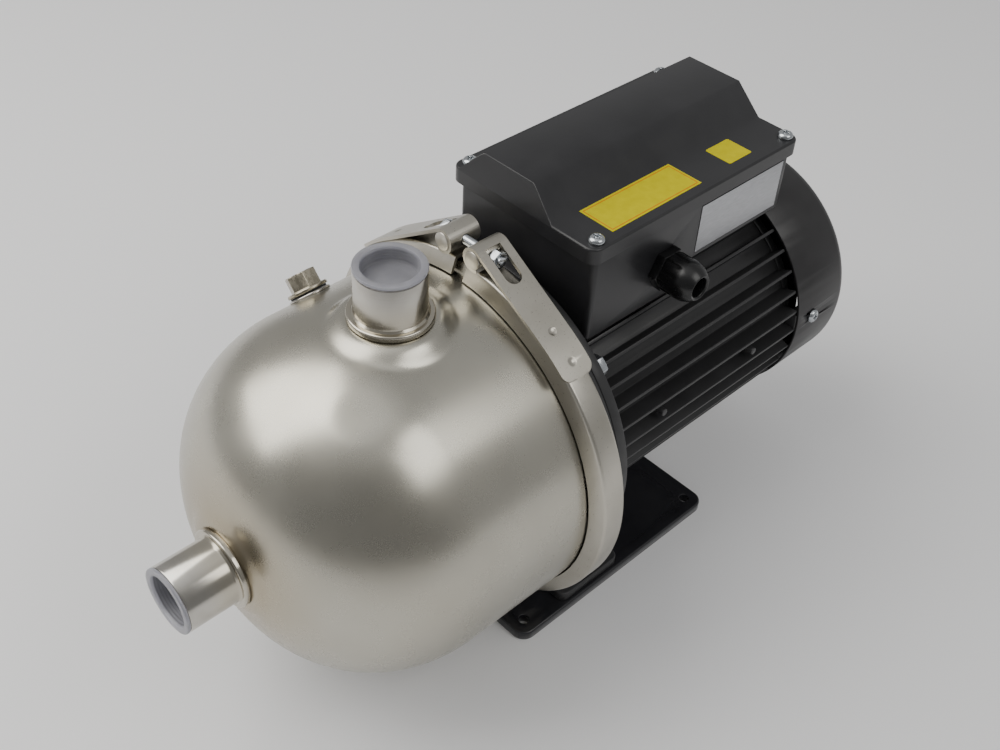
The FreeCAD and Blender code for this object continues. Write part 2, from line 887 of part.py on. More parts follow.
def shaft():
    thread = shaft_thread_radius
    step = first_hub_x - slip_gap
    bearing = bearing_bore_radius - slip_gap
    bearing_end = rear_bearing_x + bearing_width + 1
    return turned(
        (shaft_front_x, 0), (shaft_front_x, thread - 0.8), (shaft_front_x + 0.8, thread), (step, thread),
        (step, pump_shaft_radius), (cover_rear_x + 14, pump_shaft_radius), (cover_rear_x + 15, bearing),
        (rotor_sleeve_start, bearing), (rotor_sleeve_start, rotor_sleeve_radius),
        (rotor_sleeve_end, rotor_sleeve_radius), (rotor_sleeve_end, bearing),
        (bearing_end, bearing), (bearing_end + 1, fan_bore_radius),
        (shaft_rear_x, fan_bore_radius), (shaft_rear_x, 0))


def rotor_core():
    # The laminated core with the end rings that are cast onto it.
    core = ring(core_start_x, core_end_x, rotor_sleeve_radius + slip_gap, rotor_radius)
    start = core_start_x - end_ring_length
    end = core_end_x + end_ring_length
    rings = ring(start, end, end_ring_inner, rotor_radius - 1.5)
    return joined([core, rings])


ball_circle = 0.5 * (bearing_bore_radius + bearing_outer_radius)


def bearing_ring(x0, inner_ring):
    groove = torus_ring(x0 + bearing_width / 2, ball_circle, ball_radius + ball_gap)
    bore = bearing_bore_radius if inner_ring else bearing_outer_radius - bearing_ring_wall
    return ring(x0, x0 + bearing_width, bore, bore + bearing_ring_wall).cut(groove)


def bearing_rings(inner_ring):
    return group([bearing_ring(x, inner_ring) for x in (front_bearing_x, rear_bearing_x)])


def bearing_balls():
    balls = []
    for x0 in (front_bearing_x, rear_bearing_x):
        for i in range(ball_count):
            centre = polar(x0 + bearing_width / 2, ball_circle, 360.0 * i / ball_count)
            balls.append(Part.makeSphere(ball_radius, centre))
    return group(balls)


def bearing_cages():
    inner = ball_circle - cage_wall / 2
    cages = []
    for x0 in (front_bearing_x, rear_bearing_x):
        middle = x0 + bearing_width / 2
        front = middle - ball_radius - 0.8
        cage = ring(front, middle + 0.4 * ball_radius, inner, inner + cage_wall)
        pocket = Part.makeCylinder(ball_radius + ball_gap, 2 * ball_circle, Vector(middle, 0, 0))
        cages.append(cage.cut(pattern_x(pocket, ball_count)))
    return group(cages)


# Motor bracket and foot

def motor_bracket():
    neck = barrel_radius - 1.5
    flank_x = 2 * clamp_middle_x - gripped_flank_x(barrel_radius)
    flank_top_x = 2 * clamp_middle_x - gripped_flank_x(lip_radius)
    floor_x = bracket_flange_x + bracket_wall
    rim = bracket_radius - bracket_rim_width
    flange = turned(
        (bracket_flange_x, bracket_hole_radius), (bracket_flange_x, lip_radius), (flank_top_x, lip_radius),
        (flank_x, barrel_radius), (flank_x, neck), (bracket_face_x - 6, bracket_radius),
        (bracket_face_x, bracket_radius), (bracket_face_x, rim), (floor_x, rim - 3),
        (floor_x, bracket_hole_radius))
    tap = ring(bracket_face_x - 12, bracket_face_x + 1, 0, bolt_radius + slip_gap)
    tap.translate(polar(0, bracket_bolt_circle, 0))
    flange = flange.cut(pattern_x(tap, bracket_bolt_count, 45))
    hollow = ring(bracket_flange_x, bracket_face_x + 1, 0, rim - 3)
    shield_room = ring(bracket_face_x, bracket_face_x + flange_thickness + 1, 0, bracket_radius + 1.5)
    frame_room = ring(bracket_face_x, foot_x1 + 5, 0, fin_tip_radius + 4)
    foot = bracket_foot().cut([hollow, shield_room, frame_room])
    return joined([flange, foot])


foot_x0 = clamp_rear_x + 3.0
foot_x1 = foot_x0 + foot_length
foot_rise = 12.0 - bracket_radius
plate_top = base_thickness - shaft_height
foot_screw_x = (foot_x0 + 9.0, foot_x1 - 8.0)
foot_screw_y = foot_half_width - 9.0


def bracket_foot():
    # A flat sole, a wall that rises from it in two concave sweeps, and a rib behind the wall.
    sole_top = plate_top + foot_thickness
    web = foot_web_half_width
    sweep = foot_web_fillet
    sole = rounded_box(foot_x0, foot_x1, -foot_half_width, foot_half_width, plate_top, sole_top, 6.0)
    wall = box(foot_x0, bracket_face_x, -web - sweep, web + sweep, plate_top, foot_rise)
    for side in (1, -1):
        corner = Vector(foot_x0 - 1, side * (web + sweep), sole_top + sweep)
        wall = wall.cut(Part.makeCylinder(sweep, bracket_face_x - foot_x0 + 2, corner, Vector(1, 0, 0)))
        near, far = sorted((side * web, side * (web + 2 * sweep)))
        wall = wall.cut(box(foot_x0 - 1, bracket_face_x + 1, near, far, sole_top + sweep, 0))
    rib = box(foot_x0, foot_x1, -foot_rib / 2, foot_rib / 2, plate_top, foot_rise)
    foot = joined([sole, wall, rib])
    for x, y in foot_screw_points():
        hole = Part.makeCylinder(foot_screw_radius + 0.3, foot_thickness + 2, Vector(x, y, plate_top - 1))
        foot = foot.cut(hole)
    return foot


def bracket_bolts():
    head_x = bracket_face_x + flange_thickness + slip_gap
    shank = ring(bracket_face_x - 11, head_x + 1, 0, bolt_radius)
    head = hex_bar(head_x, head_x + bolt_head_height, bolt_head_across)
    bolt = placed(joined([shank, head]), polar(0, bracket_bolt_circle, 0), Vector(1, 0, 0))
    return group(pattern_x(bolt, bracket_bolt_count, 45))


def foot_hole_points():
    half_x = foot_hole_spacing_x / 2
    half_y = foot_hole_spacing_y / 2
    return [(foot_centre_x + sx * half_x, sy * half_y) for sx in (-1, 1) for sy in (-1, 1)]


def foot_screw_points():
    return [(x, side * foot_screw_y) for x in foot_screw_x for side in (-1, 1)]


def base_plate():
    # A pressed plate with a turned-down rim and a boss under each hole that reaches the floor.
    half_x = foot_hole_spacing_x / 2 + foot_hole_edge
    half_y = foot_hole_spacing_y / 2 + foot_hole_edge
    low = -shaft_height
    x0 = foot_centre_x - half_x
    x1 = foot_centre_x + half_x
    plate = rounded_box(x0, x1, -half_y, half_y, low, plate_top, base_corner_radius)
    top_edges = [e for e in plate.Edges if all(abs(v.Z - plate_top) < 0.01 for v in e.Vertexes)]
    plate = plate.makeFillet(base_edge_radius, top_edges)
    rim = base_rim
    under = rounded_box(x0 + rim, x1 - rim, -half_y + rim, half_y - rim,
                        low - 1, plate_top - base_sheet, base_corner_radius - 3)
    bosses = []
    for x, y in foot_hole_points():
        bosses.append(Part.makeCylinder(base_boss_radius, base_thickness - 1, Vector(x, y, low)))
    for x, y in foot_screw_points():
        bosses.append(Part.makeCylinder(foot_screw_radius + 4, base_thickness - 1, Vector(x, y, low)))
    plate = joined([plate.cut(under)] + [boss.common(plate) for boss in bosses])
    for x, y in foot_hole_points():
        plate = plate.cut(Part.makeCylinder(foot_hole_radius, base_thickness + 2, Vector(x, y, low - 1)))
    for x, y in foot_screw_points():
        tap = Part.makeCylinder(foot_screw_radius + slip_gap, base_thickness + 2, Vector(x, y, low + 1))
        plate = plate.cut(tap)
    return plate


def base_screws():
    screws = []
    seat = plate_top + foot_thickness + slip_gap
    grip = foot_thickness + 4.0
    for x, y in foot_screw_points():
        shank = Part.makeCylinder(foot_screw_radius, grip + 0.5, Vector(x, y, seat - grip))
        head = pan_head(foot_screw_head_radius, foot_screw_head_height)
        screws.append(joined([shank, placed(head, Vector(x, y, seat), Vector(0, 0, 1))]))
    return group(screws)


def pan_head(radius, height):
    # A rounded screw head that stands along +X from X = 0, with a cross recess.
    crown = 0.35 * radius
    head = turned((0, 0), (0, radius), (0.35 * height, radius),
                  ((0.85 * height, 0.8 * radius), (height, crown)), (height, 0))
    deep = 0.45 * height
    arm = 0.5 * radius
    slot = 0.12 * radius
    for half_y, half_z in ((arm, slot), (slot, arm)):
        head = head.cut(box(height - deep, height + 1, -half_y, half_y, -half_z, half_z))
    return head


# Motor

wire_hole_x = box_front_x + 20.0


def frame_fin(angle):
    tip = fin_thickness / 2 - fin_draft
    root = fin_thickness / 2 + fin_draft
    low = frame_root_radius - 1
    section = [
        Vector(motor_front_x, -root, low), Vector(motor_front_x, -tip, fin_tip_radius),
        Vector(motor_front_x, tip, fin_tip_radius), Vector(motor_front_x, root, low),
        Vector(motor_front_x, -root, low)]
    fin = Part.Face(Part.makePolygon(section)).extrude(Vector(motor_rear_x - motor_front_x, 0, 0))
    return around_x(fin, -angle)


def motor_frame():
    tube = ring(motor_front_x, motor_rear_x, frame_bore_radius, frame_root_radius)
    pitch = 360.0 / fin_count
    fins = [frame_fin(pitch * (i + 0.5)) for i in range(fin_count)]
    pad = box(motor_front_x + 3, box_step_x, -pad_half_width, pad_half_width, 0, pad_height)
    pad = pad.cut(ring(motor_front_x, motor_rear_x, 0, frame_root_radius - 1))
    side = box_half_width + 2
    room = box(motor_front_x - 1, box_step_x + 2, -side, side, pad_height, fin_tip_radius + 1)
    frame = tube.fuse(fins).cut(room).fuse(pad)
    wire_start = Vector(wire_hole_x, 0, frame_bore_radius - cable_hole_radius)
    wire_hole = Part.makeCylinder(cable_hole_radius, pad_height, wire_start)
    nub = ring(frame_root_radius - 1, fin_tip_radius + 0.5, 0, nub_radius)
    nubs = []
    for x in nub_x:
        for side in (1, -1):
            nubs.append(placed(nub, Vector(x, 0, 0), polar(0, 1, side * nub_angle)))
    return joined([frame.cut(wire_hole)] + nubs)


slot_floor = rotor_radius + air_gap + tooth_tip


def stator_core():
    core = ring(core_start_x, core_end_x, rotor_radius + air_gap, frame_bore_radius - slip_gap)
    half = stator_slot_width / 2
    slot = box(core_start_x - 1, core_end_x + 1, -half, half, slot_floor, slot_floor + stator_slot_depth)
    return core.cut(pattern_x(slot, stator_slot_count))


def stator_windings():
    # The end turns at each end of the core, and the coil sides that fill its slots.
    inner = slot_floor + seat_gap
    outer = slot_floor + stator_slot_depth - seat_gap
    half = stator_slot_width / 2 - seat_gap
    coils = []
    front = (core_start_x - winding_reach, core_start_x - seat_gap)
    rear = (core_end_x + seat_gap, core_end_x + winding_reach)
    for x0, x1 in (front, rear):
        coil = ring(x0, x1, inner, outer)
        coils.append(coil.makeFillet(3.5, circle_edges(coil)))
    side = box(core_start_x - 4, core_end_x + 4, -half, half, inner + 0.5, outer - 0.5)
    return joined(coils + pattern_x(side, stator_slot_count))


def circle_edges(shape):
    return [e for e in shape.Edges if e.Closed and len(e.Vertexes) == 1]


def front_end_shield():
    x0 = bracket_face_x + slip_gap
    x1 = x0 + flange_thickness
    hub = bearing_outer_radius + 5
    seat_x = front_bearing_x
    register = frame_bore_radius - slip_gap
    lip = bearing_bore_radius + 4
    pocket = bearing_outer_radius + slip_gap
    shield = turned(
        (x0, lip), (x0, bracket_radius), (x1, bracket_radius), (x1, frame_root_radius + 8),
        (motor_front_x - slip_gap, frame_root_radius - 1), (motor_front_x - slip_gap, register),
        (motor_front_x + register_length, register), (motor_front_x + register_length, register - 6),
        (x1 + 2, register - 10), (x1 + 2, hub + 4), (seat_x + bearing_width, hub),
        (seat_x + bearing_width, pocket), (seat_x - slip_gap, pocket), (seat_x - slip_gap, lip))
    hole = ring(x0 - 1, x1 + 1, 0, bolt_radius + 0.3)
    hole.translate(polar(0, bracket_bolt_circle, 0))
    return shield.cut(pattern_x(hole, bracket_bolt_count, 45))


def rear_end_shield():
    # A disc on the frame's rear end, with four lugs that carry the fan cowl and let the air pass.
    x0 = motor_rear_x + slip_gap
    x1 = x0 + rear_shield_thickness
    hub = bearing_outer_radius + 5
    register = frame_bore_radius - slip_gap
    rim = frame_root_radius + 1
    end = rear_bearing_x + bearing_width + wave_washer_thickness + 2 * slip_gap
    lip = bearing_bore_radius + 4
    pocket = bearing_outer_radius + slip_gap
    disc = turned(
        (rear_bearing_x, pocket), (rear_bearing_x, hub), (x0 - 2, hub + 6), (x0 - 2, register - 6),
        (motor_rear_x - register_length, register - 6), (motor_rear_x - register_length, register),
        (x0, register), (x0, rim), (x1, rim), (x1, register), (x0 + 3, register - 4), (x0 + 3, lip),
        (end, lip), (end, pocket))
    outer = cowl_radius - cowl_sheet - slip_gap
    half = cowl_lug_width / 2
    lug_end = cowl_screw_x + cowl_lug_overrun
    lug_room = box(x0, lug_end, -half, half, register - 5, outer + 1)
    lug = ring(x0, lug_end, register, outer).common(lug_room)
    lug = lug.cut(ring(x1, lug_end + 1, 0, outer - cowl_lug_height))
    shield = joined([disc] + cowl_pattern(lug))
    hole = ring(outer - cowl_lug_height - 1, outer + 1, 0, lid_screw_radius + slip_gap)
    hole = placed(hole, Vector(cowl_screw_x, 0, 0), Vector(0, 0, 1))
    return shield.cut(cowl_pattern(hole))


def cowl_pattern(shape):
    return pattern_x(shape, 4, cowl_screw_angle)


def wave_washer():
    x = rear_bearing_x + bearing_width + slip_gap
    inner = bearing_outer_radius - bearing_ring_wall
    return ring(x, x + wave_washer_thickness - slip_gap, inner, bearing_outer_radius - slip_gap)


def fan_cowl():
    sheet = cowl_sheet
    r = cowl_radius
    edge = cowl_edge_radius
    inner = edge - sheet
    corner = (cowl_rear_x - edge, r - edge)
    shell = turned(
        (cowl_front_x, r - sheet), (cowl_front_x, r), (cowl_rear_x - edge, r),
        ((corner[0] + edge * half_turn, corner[1] + edge * half_turn), (cowl_rear_x, r - edge)),
        (cowl_rear_x, 0), (cowl_rear_x - sheet, 0), (cowl_rear_x - sheet, r - edge),
        ((corner[0] + inner * half_turn, corner[1] + inner * half_turn), (cowl_rear_x - edge, r - sheet)))
    cutters = []
    sector = 360.0 / grille_sectors
    for row in range(grille_ring_count):
        r0 = grille_first_radius + row * grille_pitch
        slot = ring(cowl_rear_x - 3 * sheet, cowl_rear_x + 1, r0, r0 + grille_slot)
        for i in range(grille_sectors):
            wedge = pie(cowl_rear_x - 4 * sheet, i * sector, (i + 1) * sector - grille_rib_angle)
            cutters.append(slot.common(wedge))
    hole = ring(r - 8, r + 3, 0, lid_screw_radius + 0.2)
    hole = placed(hole, Vector(cowl_screw_x, 0, 0), Vector(0, 0, 1))
    return shell.cut(cutters + cowl_pattern(hole))


def pie(x, start, end):
    tip = Vector(x, 0, 0)
    points = [tip, polar(x, 3 * cowl_radius, start), polar(x, 3 * cowl_radius, end), tip]
    return Part.Face(Part.makePolygon(points)).extrude(Vector(cowl_edge_radius, 0, 0))


def cowl_screws():
    head = pan_head(lid_screw_head_radius, lid_screw_head_height)
    shank = ring(1 - cowl_lug_height, 0.3, 0, lid_screw_radius)
    screw = placed(joined([head, shank]), Vector(cowl_screw_x, 0, cowl_radius + slip_gap), Vector(0, 0, 1))
    return group(cowl_pattern(screw))


def cooling_fan():
    x1 = fan_x + fan_length
    hub = ring(fan_x, x1, fan_bore_radius + slip_gap, 17)
    disc = ring(fan_x + 2, fan_x + 4.5, 12, fan_radius - 18)
    blades = []
    for i in range(fan_blade_count):
        blade = box(fan_x + 3, x1, -fan_blade_thickness / 2, fan_blade_thickness / 2, 14, fan_radius)
        blades.append(around_x(blade, 360.0 * i / fan_blade_count))
    return joined([hub, disc] + blades)


# Terminal box

board_x = box_front_x + board_inset
board_seat = pad_height + box_wall + board_rail_height
capacitor_seat = box_step_floor + box_wall
lid_screw_x = (box_front_x + lid_screw_inset, box_rear_x - lid_screw_inset)
lid_screw_y = box_half_width - lid_screw_inset


def lid_screw_points():
    return [(x, side * lid_screw_y) for x in lid_screw_x for side in (-1, 1)]


def terminal_box():
    # Deep at the front, where it stands on the frame's pad, and shallow over the rest of the frame.
    w = box_half_width
    radius = box_corner_radius
    wall = box_wall
    inner = w - wall
    top = box_top + 1
    deep = rounded_box(box_front_x, box_step_x, -w, w, pad_height + slip_gap, box_top, radius)
    middle_x = 0.5 * (box_front_x + box_step_x)
    shallow = rounded_box(middle_x, box_rear_x, -w, w, box_step_floor, box_top, radius)
    outer = joined([deep, shallow])
    low = pad_height + wall
    high = box_step_floor + wall
    deep_room = rounded_box(box_front_x + wall, box_step_x - wall, -inner, inner, low, top, 2.0)
    shallow_room = rounded_box(middle_x, box_rear_x - wall, -inner, inner, high, top, 2.0)
    shell = outer.cut(joined([deep_room, shallow_room]))
    posts = []
    for x, y in lid_screw_points():
        floor = pad_height + 1 if x < box_step_x else box_step_floor + 1
        post = Part.makeCylinder(box_post_radius, box_top - floor, Vector(x, y, floor))
        posts.append(post.common(outer))
    half = board_rail_width / 2
    rail = box(board_x, board_x + board_length, -half, half, pad_height + 1, board_seat)
    shell = joined([shell, rail] + posts)
    hole_floor = box_top - lid_screw_length + 1
    for x, y in lid_screw_points():
        point = Vector(x, y, hole_floor)
        shell = shell.cut(Part.makeCylinder(lid_screw_radius + lid_screw_gap, lid_screw_length, point))
    wires = Part.makeCylinder(cable_hole_radius - 2, 2 * box_wall, Vector(wire_hole_x, 0, pad_height - 1))
    gland = gland_axis_shape(ring(-4 * wall, wall, 0, gland_thread_radius + slip_gap))
    recess = box(plate_x0, plate_x1, -w - 1, -w + plate_recess, plate_z0, plate_z1)
    return shell.cut([wires, gland, recess])


def ridge(spread, floor, top):
    # The raised ridge of the lid, or with a negative spread the hollow under it.
    x0 = box_front_x - lid_overhang - lid_nose
    x1 = box_rear_x + lid_overhang
    ends = (x0 - spread, x1 + spread, x0 + ridge_front_slope - spread, x1 - ridge_rear_slope + spread)
    low = (ridge_foot_near_y - spread, ridge_foot_far_y + spread)
    high = (ridge_near_y - spread, ridge_far_y + spread)
    wires = []
    for (front, rear), (near, far), z in ((ends[:2], low, floor), (ends[2:], high, top)):
        plan = ((front, near), (rear, near), (rear, far), (front, far), (front, near))
        wires.append(Part.makePolygon([Vector(x, y, z) for x, y in plan]))
    return Part.makeLoft(wires, True, True)


def terminal_lid():
    # A flat cover with a skirt round the box, and a ridge that gives room for the capacitor.
    w = box_half_width
    edge = w + lid_overhang
    x0 = box_front_x - lid_overhang - lid_nose
    x1 = box_rear_x + lid_overhang
    cover = rounded_box(x0, x1, -edge, edge, lid_skirt_bottom, lid_top, box_corner_radius + lid_overhang)
    top_edges = [e for e in cover.Edges if all(abs(v.Z - lid_top) < 0.01 for v in e.Vertexes)]
    cover = cover.makeFillet(lid_edge_radius, top_edges)
    gap = seat_gap + 0.3
    underside = box_top + gasket_thickness + slip_gap
    low = lid_skirt_bottom - 1
    side = w + gap
    room = rounded_box(box_front_x - gap, box_rear_x + gap, -side, side, low, underside, box_corner_radius)
    pockets = []
    holes = []
    for x, y in lid_screw_points():
        pockets.append(Part.makeCylinder(lid_screw_head_radius + 1.5, 20, Vector(x, y, lid_top)))
        holes.append(Part.makeCylinder(lid_screw_radius + lid_screw_gap, 10, Vector(x, y, lid_top - 8)))
    raised = ridge(0, lid_top - 1, ridge_top).cut(pockets)
    hollow = ridge(-ridge_wall, underside - 1, ridge_top - lid_wall)
    return joined([cover, raised]).cut([room, hollow] + holes)


def lid_gasket():
    w = box_half_width
    z0 = box_top + slip_gap / 2
    z1 = box_top + gasket_thickness
    inset = gasket_width
    outer = rounded_box(box_front_x, box_rear_x, -w, w, z0, z1, box_corner_radius)
    side = w - inset
    inner = rounded_box(box_front_x + inset, box_rear_x - inset, -side, side, z0 - 1, z1 + 1, 2.0)
    lugs = []
    holes = []
    for x, y in lid_screw_points():
        lugs.append(Part.makeCylinder(box_post_radius, z1 - z0, Vector(x, y, z0)).common(outer))
        holes.append(Part.makeCylinder(lid_screw_radius + lid_screw_gap, 4, Vector(x, y, z0 - 1)))
    return joined([outer.cut(inner)] + lugs).cut(holes)


def lid_screws():
    head = pan_head(lid_screw_head_radius, lid_screw_head_height)
    shank = ring(weld_overlap - lid_screw_length, weld_overlap, 0, lid_screw_radius)
    screw = joined([head, shank])
    seat = lid_top + slip_gap
    return group([placed(screw, Vector(x, y, seat), Vector(0, 0, 1)) for x, y in lid_screw_points()])


def stud_points():
    middle = board_x + board_length / 2
    half = stud_row_gap / 2
    return [(middle + column * stud_pitch, side * half) for column in (-1, 0, 1) for side in (-1, 1)]


def terminal_board():
    half = board_width / 2
    base = board_seat + slip_gap
    board = rounded_box(board_x, board_x + board_length, -half, half, base, base + board_thickness, 3.0)
    for x, y in stud_points():
        hole = Part.makeCylinder(stud_radius + slip_gap, board_thickness, Vector(x, y, base + 3))
        board = board.cut(hole)
    return board


def terminal_studs():
    studs = []
    seat = board_seat + board_thickness + 2 * slip_gap
    for x, y in stud_points():
        nut = placed(hex_bar(0, stud_nut_height, stud_nut_across), Vector(x, y, seat), Vector(0, 0, 1))
        depth = board_thickness - 4.0
        stud = Part.makeCylinder(stud_radius, stud_height + depth, Vector(x, y, seat - depth))
        studs.append(joined([nut, stud]))
    return group(studs)


def run_capacitor():
    x0 = box_rear_x - box_wall - 4 - capacitor_length
    z = capacitor_seat + capacitor_radius + slip_gap
    can = ring(x0, x0 + capacitor_length, 0, capacitor_radius)
    can = can.makeFillet(2.0, circle_edges(can))
    moved = can.copy()
    moved.translate(Vector(0, 10, z))
    return moved


# Cable gland

gland_face_y = -box_half_width


def gland_axis_shape(shape):
    return placed(shape, Vector(gland_x, gland_face_y, gland_z), Vector(0, -1, 0))


gland_male_end = gland_collar_length + gland_male_length


def gland_body():
    collar = hex_bar(slip_gap, gland_collar_length, gland_collar_across)
    thread = ring(-gland_thread_reach, gland_male_end, 0, gland_thread_radius)
    bore = ring(-gland_thread_reach - 1, gland_male_end + 1, 0, gland_seal_radius + slip_gap)
    seat = ring(-gland_thread_reach, gland_seal_start, gland_mouth_radius, gland_thread_radius - 0.5)
    return gland_axis_shape(joined([joined([collar, thread]).cut(bore), seat]))


def gland_seal():
    start = gland_seal_start + slip_gap
    return gland_axis_shape(ring(start, gland_male_end, gland_cable_radius, gland_seal_radius))


def gland_nut():
    x0 = gland_collar_length + slip_gap
    x1 = x0 + gland_nut_length
    r = gland_nut_radius
    shoulder = gland_male_end + slip_gap
    grip_end = x0 + 0.55 * gland_nut_length
    dome = turned(
        (x0, gland_thread_radius + slip_gap), (x0, r - 0.6), (x0 + 0.6, r), (grip_end, r),
        ((0.5 * (grip_end + x1) + 1, r - 1.8), (x1, gland_mouth_radius + 1.5)),
        (x1 - 0.8, gland_mouth_radius), (shoulder, gland_mouth_radius),
        (shoulder, gland_thread_radius + slip_gap))
    grip = box(x0 - 1, grip_end - 3, -1.0, 1.0, r - 0.7, r + 2)
    return gland_axis_shape(dome.cut(pattern_x(grip, 12)))


def nameplate():
    y = -box_half_width + plate_recess - slip_gap
    return box(plate_x0 + 0.2, plate_x1 - 0.2, y - plate_thickness, y, plate_z0 + 0.2, plate_z1 - 0.2)


def all_parts():
    parts = {
        "pump_barrel": pump_barrel(),
        "suction_nozzle": suction_nozzle(),
        "discharge_nozzle": discharge_nozzle(),
        "plug_bosses": plug_bosses(),
        "suction_cap": cap(suction_reach, Vector(-1, 0, 0)),
        "discharge_cap": cap(discharge_height, Vector(0, 0, 1)),
        "vent_plug": plug(vent_angle),
        "vent_plug_seal": plug_seal(vent_angle),
        "drain_plug": plug(drain_angle),
        "drain_plug_seal": plug_seal(drain_angle),
        "clamp_band": clamp_band(),
        "clamp_straps": clamp_straps(),
        "clamp_trunnions": clamp_trunnions(),
        "clamp_screw": clamp_screw(),
        "clamp_nut": clamp_nut(),
        "pump_cover": pump_cover(),
        "barrel_o_ring": barrel_o_ring(),
        "inlet_cone": inlet_cone(),
        "neck_rings": neck_rings(),
        "stage_spacers": stage_spacers(),
        "impeller_nut": impeller_nut(),
        "seal_seat": seal_seat(),
        "seal_rotating_ring": seal_rotating_ring(),
        "seal_bellows": seal_bellows(),
        "shaft": shaft(),
        "rotor_core": rotor_core(),
        "bearing_inner_rings": bearing_rings(True),
        "bearing_outer_rings": bearing_rings(False),
        "bearing_balls": bearing_balls(),
        "bearing_cages": bearing_cages(),
        "wave_washer": wave_washer(),
        "motor_bracket": motor_bracket(),
        "bracket_bolts": bracket_bolts(),
        "base_plate": base_plate(),
        "base_screws": base_screws(),
        "motor_frame": motor_frame(),
        "stator_core": stator_core(),
        "stator_windings": stator_windings(),
        "front_end_shield": front_end_shield(),
        "rear_end_shield": rear_end_shield(),
        "fan_cowl": fan_cowl(),
        "cowl_screws": cowl_screws(),
        "cooling_fan": cooling_fan(),
        "terminal_box": terminal_box(),
        "terminal_lid": terminal_lid(),
        "lid_gasket": lid_gasket(),
        "lid_screws": lid_screws(),
        "terminal_board": terminal_board(),
        "terminal_studs": terminal_studs(),
        "run_capacitor": run_capacitor(),
        "gland_body": gland_body(),
        "gland_seal": gland_seal(),
        "gland_nut": gland_nut(),
        "nameplate": nameplate(),
    }
    for index in range(stage_count):
        parts["stage_chamber_%d" % (index + 1)] = stage_chamber(index)
        parts["impeller_%d" % (index + 1)] = impeller(index)
    return parts


os.makedirs("parts", exist_ok=True)
to_foot = Vector(-foot_centre_x, 0, shaft_height)
for name, shape in all_parts().items():
    shape = shape.copy()
    shape.translate(to_foot)
    shape.exportStep("parts/%s.step" % name)
    print(name, len(shape.Solids), "valid" if shape.isValid() else "NOT VALID", round(shape.Volume))
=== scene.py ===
import json
import math

import bmesh
import bpy
from mathutils import Matrix, Vector

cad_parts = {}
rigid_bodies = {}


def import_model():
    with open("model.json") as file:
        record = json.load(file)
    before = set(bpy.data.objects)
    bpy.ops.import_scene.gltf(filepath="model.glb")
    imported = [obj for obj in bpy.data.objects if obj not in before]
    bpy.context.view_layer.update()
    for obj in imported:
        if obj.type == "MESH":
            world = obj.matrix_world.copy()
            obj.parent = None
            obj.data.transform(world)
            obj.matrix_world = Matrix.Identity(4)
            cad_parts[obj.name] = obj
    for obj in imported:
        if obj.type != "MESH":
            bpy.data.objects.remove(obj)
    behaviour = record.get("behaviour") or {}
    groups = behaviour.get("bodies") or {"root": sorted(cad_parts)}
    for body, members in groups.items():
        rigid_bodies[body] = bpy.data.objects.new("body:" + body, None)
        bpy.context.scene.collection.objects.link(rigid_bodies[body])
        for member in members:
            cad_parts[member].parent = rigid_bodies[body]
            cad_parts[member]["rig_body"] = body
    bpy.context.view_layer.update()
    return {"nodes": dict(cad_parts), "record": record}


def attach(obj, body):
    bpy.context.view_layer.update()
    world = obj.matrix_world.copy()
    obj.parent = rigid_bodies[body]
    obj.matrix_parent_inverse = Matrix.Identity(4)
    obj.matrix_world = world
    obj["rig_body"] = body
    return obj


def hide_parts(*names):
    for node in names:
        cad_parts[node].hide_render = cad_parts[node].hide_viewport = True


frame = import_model()
print("frame loaded:", len(frame["nodes"]), "nodes")

# The drawing is in mm: x runs along the shaft from the discharge nozzle, z is up from the shaft line
drawing = {"footX": 128.5, "shaftZ": 129.0}
toFrame = Matrix.Translation((-drawing["footX"] / 1000, 0, drawing["shaftZ"] / 1000)) @ Matrix.Scale(0.001, 4)
slotOf = {part["node"]: part["material_slot"] for part in frame["record"]["subparts"]}


# Camera, floor and light

camera = {"place": (-0.45407, -0.39828, 0.66189), "heading": 44.08, "dip": 41.88, "roll": 3.56, "lens": 44.99}


def makeCamera():
    facing, dip, roll = (math.radians(camera[key]) for key in ("heading", "dip", "roll"))
    look = Vector((math.cos(dip) * math.cos(facing), math.cos(dip) * math.sin(facing), -math.sin(dip)))
    side = look.cross(Vector((0, 0, 1))).normalized()
    over = side.cross(look)
    right = side * math.cos(roll) + over * math.sin(roll)
    up = over * math.cos(roll) - side * math.sin(roll)
    data = bpy.data.cameras.new("camera")
    data.lens = camera["lens"]
    data.sensor_width = 36
    eye = bpy.data.objects.new("camera", data)
    turn = Matrix((right, up, -look)).transposed()
    eye.matrix_world = Matrix.Translation(camera["place"]) @ turn.to_4x4()
    bpy.context.collection.objects.link(eye)
    bpy.context.scene.camera = eye


def linear(hexColour):
    # sRGB hex to the linear colour that a shader takes
    parts = []
    for start in (1, 3, 5):
        value = int(hexColour[start:start + 2], 16) / 255
        parts.append(value / 12.92 if value <= 0.04045 else ((value + 0.055) / 1.055) ** 2.4)
    return (*parts, 1.0)


def addNode(tree, kind, links=None, **settings):
    # adds one node with its settings, and links or sets its inputs
    node = tree.nodes.new(kind)
    for key, value in settings.items():
        setattr(node, key, value)
    for key, value in (links or {}).items():
        if isinstance(value, bpy.types.NodeSocket):
            tree.links.new(value, node.inputs[key])
        else:
            node.inputs[key].default_value = value
    return node


